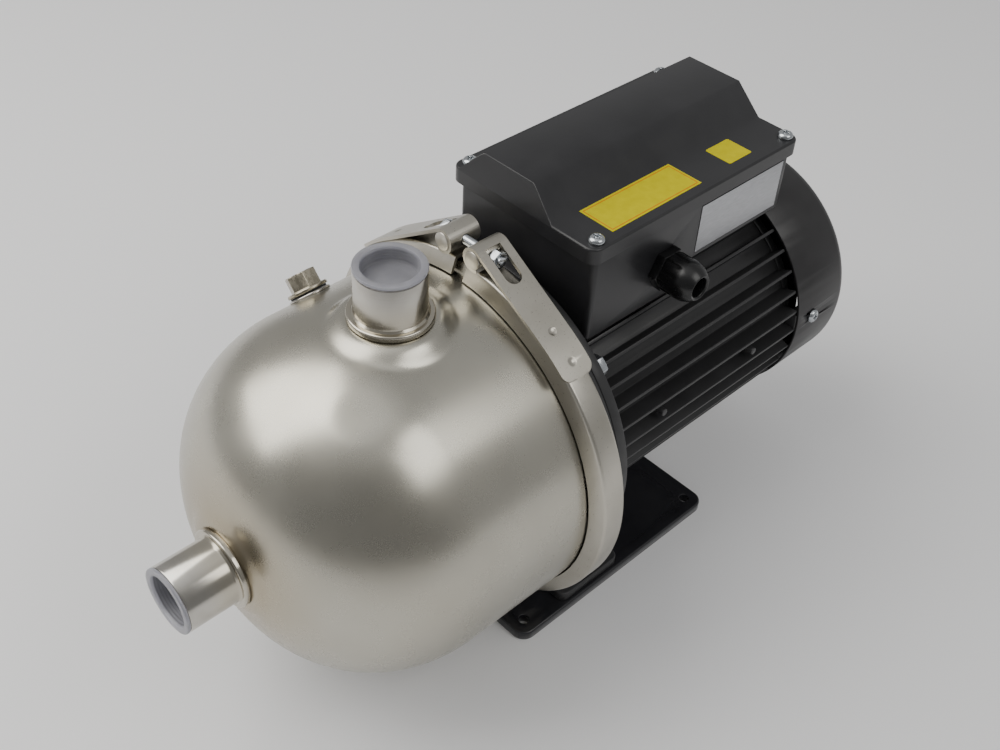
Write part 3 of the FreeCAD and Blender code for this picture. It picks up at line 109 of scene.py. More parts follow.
studio = {
    "floorColour": "#eeeeef", "floorRadius": 2.4, "floorSides": 96, "floorMiddle": (0.3, 0.3, 0),
    "fadeStart": 0.8, "fadeEnd": 2.3,
    "softLevel": 0.52, "wallLevel": 0.46, "wallColour": "#fbfbfb",
    # soft patches of the room that the floor fades into: the way to each, its reach in degrees and its level
    "patches": {
        "ceiling": {"heading": 190, "height": 76, "inner": 4, "outer": 44, "level": 1.0},
        "farSide": {"heading": 228, "height": -2, "inner": 14, "outer": 92, "level": 0.24},
    },
    # heading and height in degrees, distance and sides in metres, level is the lamp's own brightness
    "lamps": {
        "leftWindow": {
            "heading": 135, "height": 48, "away": 1.7, "sides": (1.3, 1.7), "level": 3.6, "tint": "#fffdf9"},
        "rightWindow": {
            "heading": 283, "height": 48, "away": 1.8, "sides": (1.0, 0.8), "level": 2.8, "tint": "#fffefb"},
    },
    "lampsLookAt": (0, 0, 0.1),
}


def heading(azimuth, height):
    azimuth, height = math.radians(azimuth), math.radians(height)
    level = math.cos(height)
    return Vector((level * math.cos(azimuth), level * math.sin(azimuth), math.sin(height)))


def makeLamps():
    for name, lamp in studio["lamps"].items():
        data = bpy.data.lights.new(name, "AREA")
        data.shape = "RECTANGLE"
        data.size, data.size_y = lamp["sides"]
        data.energy = lamp["level"] * math.pi * data.size * data.size_y
        data.color = linear(lamp["tint"])[:3]
        obj = bpy.data.objects.new(name, data)
        out = heading(lamp["heading"], lamp["height"])
        obj.rotation_euler = out.to_track_quat("Z", "Y").to_euler()
        obj.location = out * lamp["away"] + Vector(studio["lampsLookAt"])
        bpy.context.collection.objects.link(obj)


def makeWorld():
    # rough surfaces get an even soft light; the eye, metal and glass see the pale room with its patches
    world = bpy.data.worlds.new("room")
    bpy.context.scene.world = world
    world.use_nodes = True
    tree = world.node_tree
    tree.nodes.clear()
    where = addNode(tree, "ShaderNodeTexCoord").outputs["Generated"]
    level = studio["wallLevel"]
    for patch in studio["patches"].values():
        way = heading(patch["heading"], patch["height"])
        towards = addNode(tree, "ShaderNodeVectorMath", {0: where, 1: way}, operation="DOT_PRODUCT")
        outer, inner = (math.cos(math.radians(patch[key])) for key in ("outer", "inner"))
        share = addNode(tree, "ShaderNodeMapRange", {
            "Value": towards.outputs["Value"], "From Min": outer, "From Max": inner
        }, interpolation_type="SMOOTHSTEP")
        mixed = addNode(tree, "ShaderNodeMapRange", {
            "Value": share.outputs["Result"], "To Min": level, "To Max": patch["level"]})
        level = mixed.outputs["Result"]
    colour = linear(studio["wallColour"])
    seen = addNode(tree, "ShaderNodeBackground", {"Color": colour, "Strength": level})
    soft = addNode(tree, "ShaderNodeBackground", {"Color": colour, "Strength": studio["softLevel"]})
    path = addNode(tree, "ShaderNodeLightPath")
    eye = path.outputs["Is Camera Ray"]
    for kind in ("Is Glossy Ray", "Is Transmission Ray"):
        eye = addNode(tree, "ShaderNodeMath", {0: eye, 1: path.outputs[kind]}, operation="MAXIMUM").outputs[0]
    both = addNode(tree, "ShaderNodeMixShader", {0: eye, 1: soft.outputs[0], 2: seen.outputs[0]})
    addNode(tree, "ShaderNodeOutputWorld", {"Surface": both.outputs[0]})


def makeFloor():
    # painted board round the pump, which fades into the room further out
    material = bpy.data.materials.new("paleBackdrop")
    material.use_nodes = True
    tree = material.node_tree
    tree.nodes.clear()
    where = addNode(tree, "ShaderNodeTexCoord").outputs["Object"]
    away = addNode(tree, "ShaderNodeVectorMath", {0: where, 1: studio["floorMiddle"]}, operation="DISTANCE")
    fade = addNode(tree, "ShaderNodeMapRange", {
        "Value": away.outputs["Value"], "From Min": studio["fadeStart"], "From Max": studio["fadeEnd"]
    }, interpolation_type="SMOOTHSTEP")
    board = addNode(tree, "ShaderNodeBsdfDiffuse", {"Color": linear(studio["floorColour"])})
    gone = addNode(tree, "ShaderNodeBsdfTransparent")
    mixed = addNode(tree, "ShaderNodeMixShader", {
        0: fade.outputs["Result"], 1: board.outputs[0], 2: gone.outputs[0]})
    addNode(tree, "ShaderNodeOutputMaterial", {"Surface": mixed.outputs[0]})
    bm = bmesh.new()
    bmesh.ops.create_circle(bm, cap_ends=True, segments=studio["floorSides"], radius=studio["floorRadius"])
    mesh = bpy.data.meshes.new("floor")
    bm.to_mesh(mesh)
    bm.free()
    mesh.materials.append(material)
    floor = bpy.data.objects.new("floor", mesh)
    bpy.context.collection.objects.link(floor)


makeCamera()
makeLamps()
makeWorld()
makeFloor()
print("camera, lamps and floor ready")


# Finishes

def newFinish(name):
    material = bpy.data.materials.new(name)
    material.use_nodes = True
    material.node_tree.nodes.clear()
    return material, material.node_tree


def across(tree, stretch=(1, 1, 1)):
    # Object coordinates, stretched where a grain has a direction
    where = addNode(tree, "ShaderNodeTexCoord").outputs["Object"]
    return addNode(tree, "ShaderNodeMapping", {"Vector": where, "Scale": stretch}).outputs["Vector"]


def grain(tree, where, sizeMm, detail=2.0, lumps=0.5):
    noise = addNode(tree, "ShaderNodeTexNoise", {
        "Vector": where, "Scale": 1000 / sizeMm, "Detail": detail, "Roughness": lumps})
    return noise.outputs["Fac"]


def spread(tree, value, low, high, start=0.3, end=0.7):
    # the middle of a pattern becomes the whole of a range
    node = addNode(tree, "ShaderNodeMapRange", {
        "Value": value, "From Min": start, "From Max": end, "To Min": low, "To Max": high})
    return node.outputs["Result"]


def shades(tree, value, *stops):
    # a pattern becomes colours, each stop a place and an sRGB hex
    ramp = addNode(tree, "ShaderNodeValToRGB", {"Fac": value})
    points = ramp.color_ramp.elements
    while len(points) < len(stops):
        points.new(0.5)
    for point, (place, hexColour) in zip(points, stops):
        point.position = place
        point.color = linear(hexColour)
    return ramp.outputs["Color"]


def relief(tree, height, depthMm, under=None):
    links = {"Height": height, "Distance": depthMm / 1000, "Strength": 1.0}
    if under is not None:
        links["Normal"] = under
    return addNode(tree, "ShaderNodeBump", links).outputs["Normal"]


def blend(tree, share, first, second):
    mixed = addNode(tree, "ShaderNodeMixRGB", {"Fac": share, "Color1": first, "Color2": second})
    return mixed.outputs["Color"]


def shaded(material, tree, inputs):
    shader = addNode(tree, "ShaderNodeBsdfPrincipled", inputs)
    addNode(tree, "ShaderNodeOutputMaterial", {"Surface": shader.outputs[0]})
    return material


def nearTo(tree, point, inner, outer):
    # 1 at a point of the drawing, 0 beyond the outer radius in mm
    where = addNode(tree, "ShaderNodeTexCoord").outputs["Object"]
    away = addNode(tree, "ShaderNodeVectorMath", {0: where, 1: toFrame @ Vector(point)}, operation="DISTANCE")
    near = addNode(tree, "ShaderNodeMapRange", {
        "Value": away.outputs["Value"], "From Min": inner / 1000, "From Max": outer / 1000,
        "To Min": 1.0, "To Max": 0.0}, interpolation_type="SMOOTHSTEP")
    return near.outputs["Result"]


def deepDrawnStainless():
    # AISI 304 sheet, deep drawn and pickled: satin, slightly cloudy, with warm clouds near the welds
    material, tree = newFinish("deepDrawnStainless")
    where = across(tree)
    clouds = grain(tree, where, 70, 2.5)
    peel = grain(tree, where, 1.6, 2.0)
    drawn = grain(tree, where, 22, 1.0)
    plain = shades(tree, clouds, (0.3, "#b3afa3"), (0.7, "#bdbaaf"))
    warm = blend(tree, nearTo(tree, (-116, 0, 0), 24, 80), plain, linear("#ada38f"))
    roughness = addNode(tree, "ShaderNodeMath", {
        0: spread(tree, drawn, 0.26, 0.3), 1: spread(tree, peel, -0.008, 0.008)}, operation="ADD").outputs[0]
    return shaded(material, tree, {
        "Base Color": warm, "Metallic": 1.0, "Roughness": roughness,
        "Normal": relief(tree, drawn, 0.02)})


def turnedStainless(name, axis, weldAt):
    # a bar turned on a lathe: fine rings round its axis, and straw heat tint by the weld
    material, tree = newFinish(name)
    stretch = (1, 0, 0) if axis == "x" else (0, 0, 1)
    rings = grain(tree, across(tree, stretch), 0.9, 3.0, 0.7)   # tool marks are 0.1 mm apart, drawn at 0.9 mm
    clouds = grain(tree, across(tree), 14, 2.0)
    plain = shades(tree, clouds, (0.3, "#b4b0a8"), (0.7, "#c4c1ba"))
    tint = blend(tree, nearTo(tree, weldAt, 22, 34), plain, linear("#b9b3a5"))
    return shaded(material, tree, {
        "Base Color": tint, "Metallic": 1.0, "Roughness": spread(tree, rings, 0.14, 0.22),
        "Normal": relief(tree, rings, 0.006)})


def pressedStainless():
    # cold rolled strip, pressed and tumbled: even satin with rounded, brighter edges
    material, tree = newFinish("pressedStainless")
    where = across(tree)
    tumble = grain(tree, where, 1.1, 3.0, 0.6)
    clouds = grain(tree, where, 30, 2.0)
    return shaded(material, tree, {
        "Base Color": shades(tree, clouds, (0.3, "#b3afa4"), (0.7, "#c2beb4")), "Metallic": 1.0,
        "Roughness": spread(tree, tumble, 0.27, 0.38), "Normal": relief(tree, tumble, 0.006)})


def nickelPlatedBrass():
    # machined brass, nickel plated: warm and fairly bright, a little dulled on its flats
    material, tree = newFinish("nickelPlatedBrass")
    where = across(tree)
    dull = grain(tree, where, 3.5, 3.0)
    return shaded(material, tree, {
        "Base Color": shades(tree, dull, (0.35, "#a19a88"), (0.65, "#b8b1a0")), "Metallic": 1.0,
        "Roughness": spread(tree, dull, 0.2, 0.36), "Normal": relief(tree, grain(tree, where, 0.8), 0.006)})


def polythene():
    # injection moulded natural polyethylene: milky, soft gloss, light passes through
    material, tree = newFinish("naturalPolythene")
    where = across(tree)
    cloud = grain(tree, where, 9, 2.0)
    return shaded(material, tree, {
        "Base Color": shades(tree, cloud, (0.3, "#babac2"), (0.7, "#c9c9d0")),
        "Roughness": spread(tree, cloud, 0.3, 0.4), "IOR": 1.51, "Transmission Weight": 0.65,
        "Subsurface Weight": 0.15, "Subsurface Radius": (0.004, 0.004, 0.005), "Subsurface Scale": 1.0,
        "Normal": relief(tree, grain(tree, where, 1.3), 0.01)})


def zincPlatedSteel():
    # cold headed steel, bright zinc plated: cool and bright with a fine crystal bloom
    material, tree = newFinish("zincPlatedSteel")
    bloom = grain(tree, across(tree), 0.9, 3.0, 0.65)
    return shaded(material, tree, {
        "Base Color": shades(tree, bloom, (0.3, "#b0b4b8"), (0.7, "#c3c7ca")), "Metallic": 1.0,
        "Roughness": spread(tree, bloom, 0.16, 0.24), "Normal": relief(tree, bloom, 0.0006)})


def blackPaint(name, dark, light, rough, peelMm, depthMm):
    # black coating: orange peel of one size, with a faint dust haze in broad patches
    material, tree = newFinish(name)
    where = across(tree)
    peel = grain(tree, where, peelMm, 2.0)
    haze = grain(tree, where, 40, 3.0, 0.6)
    return shaded(material, tree, {
        "Base Color": shades(tree, haze, (0.35, dark), (0.7, light)), "Roughness": spread(tree, haze, *rough),
        "Specular IOR Level": 0.5, "Normal": relief(tree, peel, depthMm)})


def anodisedPlate():
    # rolled aluminium foil plate, matt anodised and bare: a soft sheen along the way it was rolled
    material, tree = newFinish("anodisedPlate")
    where = across(tree, (0.15, 1, 1))
    brush = grain(tree, where, 0.8, 2.0)
    return shaded(material, tree, {
        "Base Color": shades(tree, brush, (0.3, "#a9aaad"), (0.7, "#bcbdc0")), "Metallic": 0.85,
        "Roughness": spread(tree, brush, 0.34, 0.46)})


def vinyl(name, hexColour, lightHex):
    # printed vinyl film: even colour, a low sheen and slight waves from being laid by hand
    material, tree = newFinish(name)
    where = across(tree)
    waves = grain(tree, where, 12, 2.0)
    return shaded(material, tree, {
        "Base Color": shades(tree, grain(tree, where, 5, 3.0), (0.3, hexColour), (0.7, lightHex)),
        "Roughness": spread(tree, waves, 0.45, 0.6), "Specular IOR Level": 0.05,
        "Normal": relief(tree, waves, 0.05)})


def plainPlastic(name, dark, light, rough, grainMm, depthMm):
    # moulded plastic or rubber: even colour with the mould's fine grain
    material, tree = newFinish(name)
    where = across(tree)
    mould = grain(tree, where, grainMm, 2.0)
    return shaded(material, tree, {
        "Base Color": shades(tree, grain(tree, where, 15, 2.0), (0.3, dark), (0.7, light)),
        "Roughness": spread(tree, mould, *rough), "Normal": relief(tree, mould, depthMm)})


def bareMetal(name, dark, light, rough, grainMm, stretch=(1, 1, 1), depthMm=0.006):
    # bare or polished metal: a grain of one size and direction changes its tone and gloss
    material, tree = newFinish(name)
    lines = grain(tree, across(tree, stretch), grainMm, 3.0, 0.6)
    return shaded(material, tree, {
        "Base Color": shades(tree, lines, (0.3, dark), (0.7, light)), "Metallic": 1.0,
        "Roughness": spread(tree, lines, *rough), "Normal": relief(tree, lines, depthMm)})


finishes = {
    "stainless_barrel": deepDrawnStainless(),
    "stainless_turned": turnedStainless("turnedStainlessUp", "z", (0, 0, 109.5)),
    "stainless_clamp": pressedStainless(),
    "stainless_stage": bareMetal("pressedStageSheet", "#aeaeac", "#c4c4c2", (0.25, 0.4), 2.0),
    "plug_brass": nickelPlatedBrass(),
    "cap_plastic": polythene(),
    "zinc_steel": zincPlatedSteel(),
    "rubber_black": plainPlastic("nitrileRubber", "#161616", "#202020", (0.6, 0.75), 0.8, 0.02),
    "wear_plastic": plainPlastic("filledPtfe", "#d6d3c8", "#e2e0d6", (0.5, 0.6), 1.0, 0.01),
    "seal_ceramic": plainPlastic("lappedCeramic", "#ddd8c8", "#e8e4d8", (0.12, 0.2), 1.5, 0.003),
    "seal_carbon": plainPlastic("carbonGraphite", "#232326", "#303034", (0.3, 0.45), 0.8, 0.005),
    "spring_steel": bareMetal("springSteelStrip", "#8f9092", "#b3b4b6", (0.25, 0.4), 1.0),
    "shaft_steel": bareMetal("groundShaftSteel", "#a9a8a6", "#c0bfbd", (0.16, 0.26), 0.7, (1, 0, 0)),
    "bearing_steel": bareMetal("polishedBearingSteel", "#b6b7b9", "#c9cacc", (0.06, 0.14), 1.2),
    "cage_steel": bareMetal("pressedCageSteel", "#95928c", "#aaa7a1", (0.3, 0.45), 1.0),
    "core_steel": bareMetal("stackedCoreSheets", "#5b5c60", "#85868b", (0.4, 0.55), 1.8, (1, 0, 0), 0.08),
    "copper_wire": bareMetal(
        "enamelledCopperWire", "#8c3f1c", "#b8653a", (0.2, 0.35), 1.4, (0.1, 1, 1), 0.12),
    "black_cast": blackPaint("satinBlackOnCasting", "#2a2a2b", "#333334", (0.34, 0.48), 1.8, 0.05),
    "black_sheet": blackPaint("satinBlackOnSheet", "#242324", "#2d2c2d", (0.3, 0.4), 1.1, 0.012),
    "black_gloss": blackPaint("glossBlackEnamel", "#232326", "#2a2a2d", (0.08, 0.15), 4.0, 0.02),
    "black_box": blackPaint("grainedBlackLacquer", "#1f1f21", "#272729", (0.32, 0.42), 0.9, 0.02),
    "fan_plastic": plainPlastic("mouldedFanNylon", "#17171a", "#222225", (0.4, 0.55), 1.0, 0.01),
    "board_plastic": plainPlastic("phenolicBoard", "#3a2013", "#4a2c1a", (0.35, 0.5), 1.0, 0.01),
    "stud_brass": bareMetal("brightBrass", "#b08a3f", "#cfab5c", (0.2, 0.32), 0.8),
    "capacitor_can": plainPlastic("capacitorCanLacquer", "#d2d1cb", "#dfded8", (0.25, 0.35), 2.0, 0.01),
    "gland_plastic": blackPaint("mouldedBlackNylon", "#0d0d0e", "#151516", (0.22, 0.32), 1.4, 0.01),
    "plate_silver": anodisedPlate(),
}
suctionStainless = turnedStainless("turnedStainlessAlong", "x", (-116, 0, 0))
yellowVinyl = vinyl("yellowVinyl", "#b9ae04", "#c2b808")
orangeVinyl = vinyl("orangeVinyl", "#c07c06", "#c8860c")

for nodeName, node in frame["nodes"].items():
    for slot in node.material_slots:
        slot.material = finishes[slotOf[nodeName]]
print("finishes made:", len(finishes), "and the socket's and labels' own")


# Shared ways of making a piece

dressing = {
    "joinWithin": 2e-6, "flatWithin": 0.3, "segments": 2, "sharp": 32,
    "keepTriangles": ("fan_cowl",),   # a plate with many holes keeps its triangles
    "flatFaces": ("terminal_lid",),   # a piece with crisp edges is shaded as its large faces lie
    "creases": {"clamp_straps": 18},
}
seam = 0.0005   # points of a new piece that are this near, in mm, are one


def finishPiece(name, bm, materials, body, nodes, smooth):
    # closes a piece: joins its seams, turns its faces out, puts it in the frame and gives it its body
    bmesh.ops.remove_doubles(bm, verts=bm.verts, dist=seam)
    bmesh.ops.recalc_face_normals(bm, faces=bm.faces)
    bmesh.ops.transform(bm, matrix=toFrame, verts=bm.verts)
    mesh = bpy.data.meshes.new(name)
    bm.to_mesh(mesh)
    bm.free()
    for material in materials:
        mesh.materials.append(material)
    mesh.shade_smooth()
    mesh.set_sharp_from_angle(angle=math.radians(smooth))
    piece = bpy.data.objects.new(name, mesh)
    bpy.context.collection.objects.link(piece)
    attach(piece, body)
    if nodes:
        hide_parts(*nodes)


def drawOutline(bm, start, moves):
    # draws a half section in the x-r plane: a move is a point, or a centre, an angle and steps for an arc
    last = bm.verts.new((start[0], 0, start[1]))
    for move in moves:
        if len(move) == 2:
            made = bmesh.ops.extrude_vert_indiv(bm, verts=[last])
            last = made["verts"][0]
            last.co = Vector((move[0], 0, move[1]))
        else:
            centreX, centreR, angle, steps = move
            made = bmesh.ops.spin(bm, geom=[last], cent=(centreX, 0, centreR), axis=(0, 1, 0),
                                  angle=math.radians(angle), steps=steps, use_duplicate=False)
            last = [item for item in made["geom_last"] if isinstance(item, bmesh.types.BMVert)][0]


def spun(start, moves, steps, direction=(1, 0, 0)):
    # spins an outline a full turn round x, then turns x to a direction
    bm = bmesh.new()
    drawOutline(bm, start, moves)
    bmesh.ops.spin(bm, geom=bm.verts[:] + bm.edges[:], cent=(0, 0, 0), axis=(1, 0, 0),
                   angle=2 * math.pi, steps=steps, use_merge=True, use_duplicate=False)
    bmesh.ops.remove_doubles(bm, verts=bm.verts, dist=seam)
    turn = Vector((1, 0, 0)).rotation_difference(Vector(direction)).to_matrix().to_4x4()
    bmesh.ops.transform(bm, matrix=turn, verts=bm.verts)
    return bm


def dressed(name, edgeMm, press):
    # a merged copy of a CAD node, with softened edges where they have a width, stands for it
    sharp = math.radians(dressing["creases"].get(name, dressing["sharp"]))
    source = frame["nodes"][name]
    bm = bmesh.new()
    bm.from_mesh(source.data)
    bmesh.ops.remove_doubles(bm, verts=bm.verts, dist=dressing["joinWithin"])
    if edgeMm and name not in dressing["keepTriangles"]:
        flat = math.radians(dressing["flatWithin"])
        bmesh.ops.dissolve_limit(bm, angle_limit=flat, verts=bm.verts, edges=bm.edges)
    if press:
        press(bm)
    mesh = bpy.data.meshes.new(name + "Skin")
    bm.to_mesh(mesh)
    bm.free()
    mesh.materials.append(finishes[slotOf[name]])
    mesh.shade_smooth()
    piece = bpy.data.objects.new(name + "Skin", mesh)
    bpy.context.collection.objects.link(piece)
    if edgeMm:
        soften = piece.modifiers.new("softEdges", "BEVEL")
        soften.width = edgeMm / 1000
        soften.segments = dressing["segments"]
        soften.limit_method = "ANGLE"
        soften.angle_limit = sharp
        soften.use_clamp_overlap = False
        soften.harden_normals = True
    else:
        mesh.set_sharp_from_angle(angle=sharp)
    if name in dressing["flatFaces"]:
        flatten = piece.modifiers.new("flatFaces", "WEIGHTED_NORMAL")
        flatten.keep_sharp = True
        flatten.weight = 100
    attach(piece, source["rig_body"])
    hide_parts(name)


# Barrel

def plugWay(angle):
    return (0, math.sin(math.radians(angle)), math.cos(math.radians(angle)))


barrel = {
    "radius": 109.5, "wall": 2.0, "domeRadius": 91.0, "domeStart": -25.0, "crownHole": 20.3,
    "lipStart": 54.7, "lipTurn": 57.0, "lipRadius": 116.2, "lipEnd": 58.5,
    "steps": 400, "rows": 50, "domeSteps": 60, "innerDomeSteps": 30,
    # holes for the discharge socket and the two plug bosses: their x, their way out and their radius;
    # faces within cutOver of a hole go, the rim is looked for within rimOver, and only above skinAbove
    "cutOver": 2.4, "rimOver": 3.0, "skinAbove": 60.0,
    "holes": [(0, (0, 0, 1), 21.0), (2, plugWay(43.7), 11.3), (2, plugWay(136.3), 11.3)],
    # the sheet is pulled up to a level rim round each nozzle: its way out, its level and where the pull ends
    "flareRim": 24.6, "flares": [((0, 0, 1), 112.7, 37.0), ((-1, 0, 0), 117.6, 36.0)],
    # each dent: a point of the drawing, its reach in mm and its depth
    "dents": [((-52, -38, 98), 17, 0.7), ((-38, -55, 92), 14, -0.35), ((-60, 10, 100), 30, 0.4)],
}


def makeBarrel():
    outerR, wall, dome = barrel["radius"], barrel["wall"], barrel["domeRadius"]
    ring, startX, hole = outerR - dome, barrel["domeStart"], barrel["crownHole"]
    innerR = outerR - wall
    tilt = math.degrees(math.asin((hole - ring) / dome))
    innerTilt = math.degrees(math.asin((hole - ring) / (dome - wall)))
    rows = barrel["rows"]
    step = (barrel["lipStart"] - startX) / rows
    moves = [(startX, ring, 90 - tilt, barrel["domeSteps"])]
    moves += [(startX + step * i, outerR) for i in range(1, rows + 1)]
    lipR, lipEnd = barrel["lipRadius"], barrel["lipEnd"]
    moves += [(barrel["lipTurn"], lipR), (lipEnd, lipR), (lipEnd, innerR)]
    moves += [(startX + step * i, innerR) for i in range(rows, -1, -1)]
    crown = (startX - dome * math.cos(math.radians(tilt)), hole)
    moves += [(startX, ring, innerTilt - 90, barrel["innerDomeSteps"]), crown]
    bm = spun(crown, moves, barrel["steps"])
    for centreX, way, radius in barrel["holes"]:
        cutHole(bm, Vector((centreX, 0, 0)), Vector(way), radius)
    for vert in bm.verts:
        shapeBarrelPoint(vert)
    slotName = "stainless_barrel"
    finishPiece("barrelShell", bm, [finishes[slotName]], "pump", ["pump_barrel"], 40)


def cutHole(bm, base, axis, radius):
    # opens both skins round an axis, makes the two rims round and joins them through the sheet
    def reach(vert):
        point = vert.co - base
        height = point.dot(axis)
        return (point - axis * height).length if height > barrel["skinAbove"] else math.inf

    cutR, rimR = radius + barrel["cutOver"], radius + barrel["rimOver"]
    inside = [face for face in bm.faces if all(reach(vert) < cutR for vert in face.verts)]
    bmesh.ops.delete(bm, geom=inside, context="FACES")
    rims = [edge for edge in bm.edges if edge.is_boundary and all(reach(vert) < rimR for vert in edge.verts)]
    for vert in {vert for edge in rims for vert in edge.verts}:
        flat = vert.co - base - axis * (vert.co - base).dot(axis)
        vert.co += flat * (radius / flat.length - 1)
    bmesh.ops.bridge_loops(bm, edges=rims)


def isInner(point):
    # true on the inner skin of the sheet
    fromRing = max(0.0, barrel["domeStart"] - point.x)
    flat = barrel["radius"] - barrel["domeRadius"]
    fromAxis = math.hypot(point.y, point.z)
    if fromRing == 0.0:
        return fromAxis < barrel["radius"] - 0.5 * barrel["wall"]
    return math.hypot(fromRing, max(0.0, fromAxis - flat)) < barrel["domeRadius"] - 0.5 * barrel["wall"]


def shapeBarrelPoint(vert):
    # pulls the sheet up in a flare round each nozzle, and presses in the dents of handling
    point = vert.co.copy()
    out = Vector((0, point.y, point.z)).normalized() if point.x > barrel["domeStart"] else (
        point - Vector((barrel["domeStart"], 0, 0))).normalized()
    for way, level, end in barrel["flares"]:
        axis = Vector(way)
        height = point.dot(axis)
        reach = (point - axis * height).length
        if height > barrel["skinAbove"] and reach < end:
            share = min(1.0, (end - reach) / (end - barrel["flareRim"]))
            rise = level - height - (barrel["wall"] if isInner(point) else 0)
            vert.co += axis * rise * share * share * (3 - 2 * share)
    for centre, reach, depth in barrel["dents"]:
        share = (point - Vector(centre)).length / reach
        if share < 1:
            vert.co -= out * depth * (1 - share * share) ** 2


makeBarrel()
print("barrel made")


# Nozzles

nozzle = {
    "outer": 20.0, "bore": 14.0, "mouth": 16.7, "mouthDepth": 9.0, "collar": 24.0, "steps": 128,
    "suction": {"face": 152.0, "surface": 116.0, "rim": 117.6, "collarHeight": 6.0},
    "discharge": {"face": 143.8, "surface": 109.5, "rim": 112.7, "collarHeight": 8.0},
    # the thread: each groove has its depths from the turn's start, and the runout ends them
    "threadMinor": 15.15, "threadMajor": 16.4, "pitch": 2.31, "turns": 6,
    "land": (0.15, 0.55), "root": (1.25, 1.5), "runout": (14.2, 14.6),
    # the tube's depth under the sheet, the step where the collar sits on the flare, and its rounded crown
    "foot": 9.0, "seatGap": 0.6, "seatStep": (0.9, 0.5), "collarEdge": 0.25, "crown": 2.0, "crownBend": 1.2,
    "bendSteps": 8,
    # the weld's fillet: each point's height over the collar and its distance outside the tube
    "fillet": ((-0.8, 1.2), (0.4, 0.2), (1.6, 0.0)),
    "lip": 0.8, "lipEdge": 0.25, "chamfer": 0.5,
}


def makeNozzle(name, sizes, direction, nodeName, material):
    face, rim, foot = sizes["face"], sizes["rim"], sizes["surface"] - nozzle["foot"]
    outer, bore, collar = nozzle["outer"], nozzle["bore"], nozzle["collar"]
    top, mouth = sizes["surface"] + sizes["collarHeight"], face - nozzle["mouthDepth"]
    seat, (inStep, upStep), edge = rim - nozzle["seatGap"], nozzle["seatStep"], nozzle["collarEdge"]
    crown, bend = top - nozzle["crown"], nozzle["crownBend"]
    moves = [(foot, outer), (seat, outer), (seat, collar - inStep), (rim + upStep, collar - inStep),
             (rim + upStep, collar - edge), (rim + upStep + edge, collar), (crown, collar),
             (crown, collar - bend, 90, nozzle["bendSteps"])]
    moves += [(top + up, outer + out) for up, out in nozzle["fillet"]]
    lip, lipEdge, chamfer, mouthR = (nozzle[key] for key in ("lip", "lipEdge", "chamfer", "mouth"))
    moves += [(face - lip, outer), (face - lipEdge, outer - lipEdge), (face, outer - lip),
              (face, mouthR + chamfer), (face - chamfer, mouthR), (mouth, mouthR)]
    minor, major = nozzle["threadMinor"], nozzle["threadMajor"]
    for turn in range(nozzle["turns"]):
        start = mouth - turn * nozzle["pitch"]
        moves += [(start - depth, minor) for depth in nozzle["land"]]
        moves += [(start - depth, major) for depth in nozzle["root"]]
    threadEnd, boreStart = nozzle["runout"]
    moves += [(mouth - threadEnd, minor), (mouth - boreStart, bore), (foot, bore)]
    bm = spun((foot, bore), moves, nozzle["steps"], direction)
    finishPiece(name, bm, [material], "pump", [nodeName], 30)


makeNozzle("suctionSocket", nozzle["suction"], (-1, 0, 0), "suction_nozzle", suctionStainless)
turnedUp = finishes["stainless_turned"]
makeNozzle("dischargeSocket", nozzle["discharge"], (0, 0, 1), "discharge_nozzle", turnedUp)
print("nozzles made")


# Protection caps

cap = {
    "rim": 20.0, "rimThick": 2.0, "cup": 16.4, "wall": 0.7, "depth": 8.0, "lift": 0.1, "steps": 96,
    "edge": 0.8, "edgeBreak": 0.25, "rimFoot": 0.4, "rimShoulder": (0.7, 0.2),
    # fine ribs inside the cup: how deep the first one is, their spacing, and the steps and height of each
    "ribs": 4, "ribStart": 1.6, "ribPitch": 1.7, "ribSteps": (0.3, 0.7, 1.0), "ribHeight": 0.15,
    # the cup's floor: its bend, its flat and the low boss of the moulding gate
    "floorBend": (1.6, 0.1, 0.6), "floorFlat": 12.0, "gate": (9.0, 8.4), "gateHeight": 0.35,
}


def makeCap(name, sizes, direction, body, nodeName):
    rim, cup, edge, cut, foot = (cap[key] for key in ("rim", "cup", "edge", "edgeBreak", "rimFoot"))
    base, bottom = sizes["face"] + cap["lift"], sizes["face"] - cap["depth"]
    top, inner, floor = base + cap["rimThick"], cup - cap["wall"], bottom + cap["wall"]
    shoulder, upper = cap["rimShoulder"]
    moves = [(bottom, cup - edge), (bottom + cut, cup - cut), (bottom + edge, cup), (base, cup),
             (base, rim - foot), (base + foot, rim), (top - shoulder, rim), (top - upper, rim - cut),
             (top, rim - edge), (top, inner + edge), (top - cut, inner + cut), (top - edge, inner)]
    ribTop = inner - cap["ribHeight"]
    rise, fall, end = cap["ribSteps"]
    for rib in range(cap["ribs"]):
        start = top - cap["ribStart"] - rib * cap["ribPitch"]
        moves += [(start, inner), (start - rise, ribTop), (start - fall, ribTop), (start - end, inner)]
    bendUp, bendLow, bendIn = cap["floorBend"]
    gateFoot, gateTop = cap["gate"]
    moves += [(bottom + bendUp, inner), (floor + bendLow, inner - bendIn), (floor, cap["floorFlat"]),
              (floor, gateFoot), (floor + cap["gateHeight"], gateTop), (floor + cap["gateHeight"], 0)]
    bm = spun((bottom, 0), moves, cap["steps"], direction)
    finishPiece(name, bm, [finishes["cap_plastic"]], body, [nodeName], 40)


makeCap("suctionCapMoulding", nozzle["suction"], (-1, 0, 0), "suction_cap_body", "suction_cap")
makeCap("dischargeCapMoulding", nozzle["discharge"], (0, 0, 1), "discharge_cap_body", "discharge_cap")
print("caps made")


# Clamp band

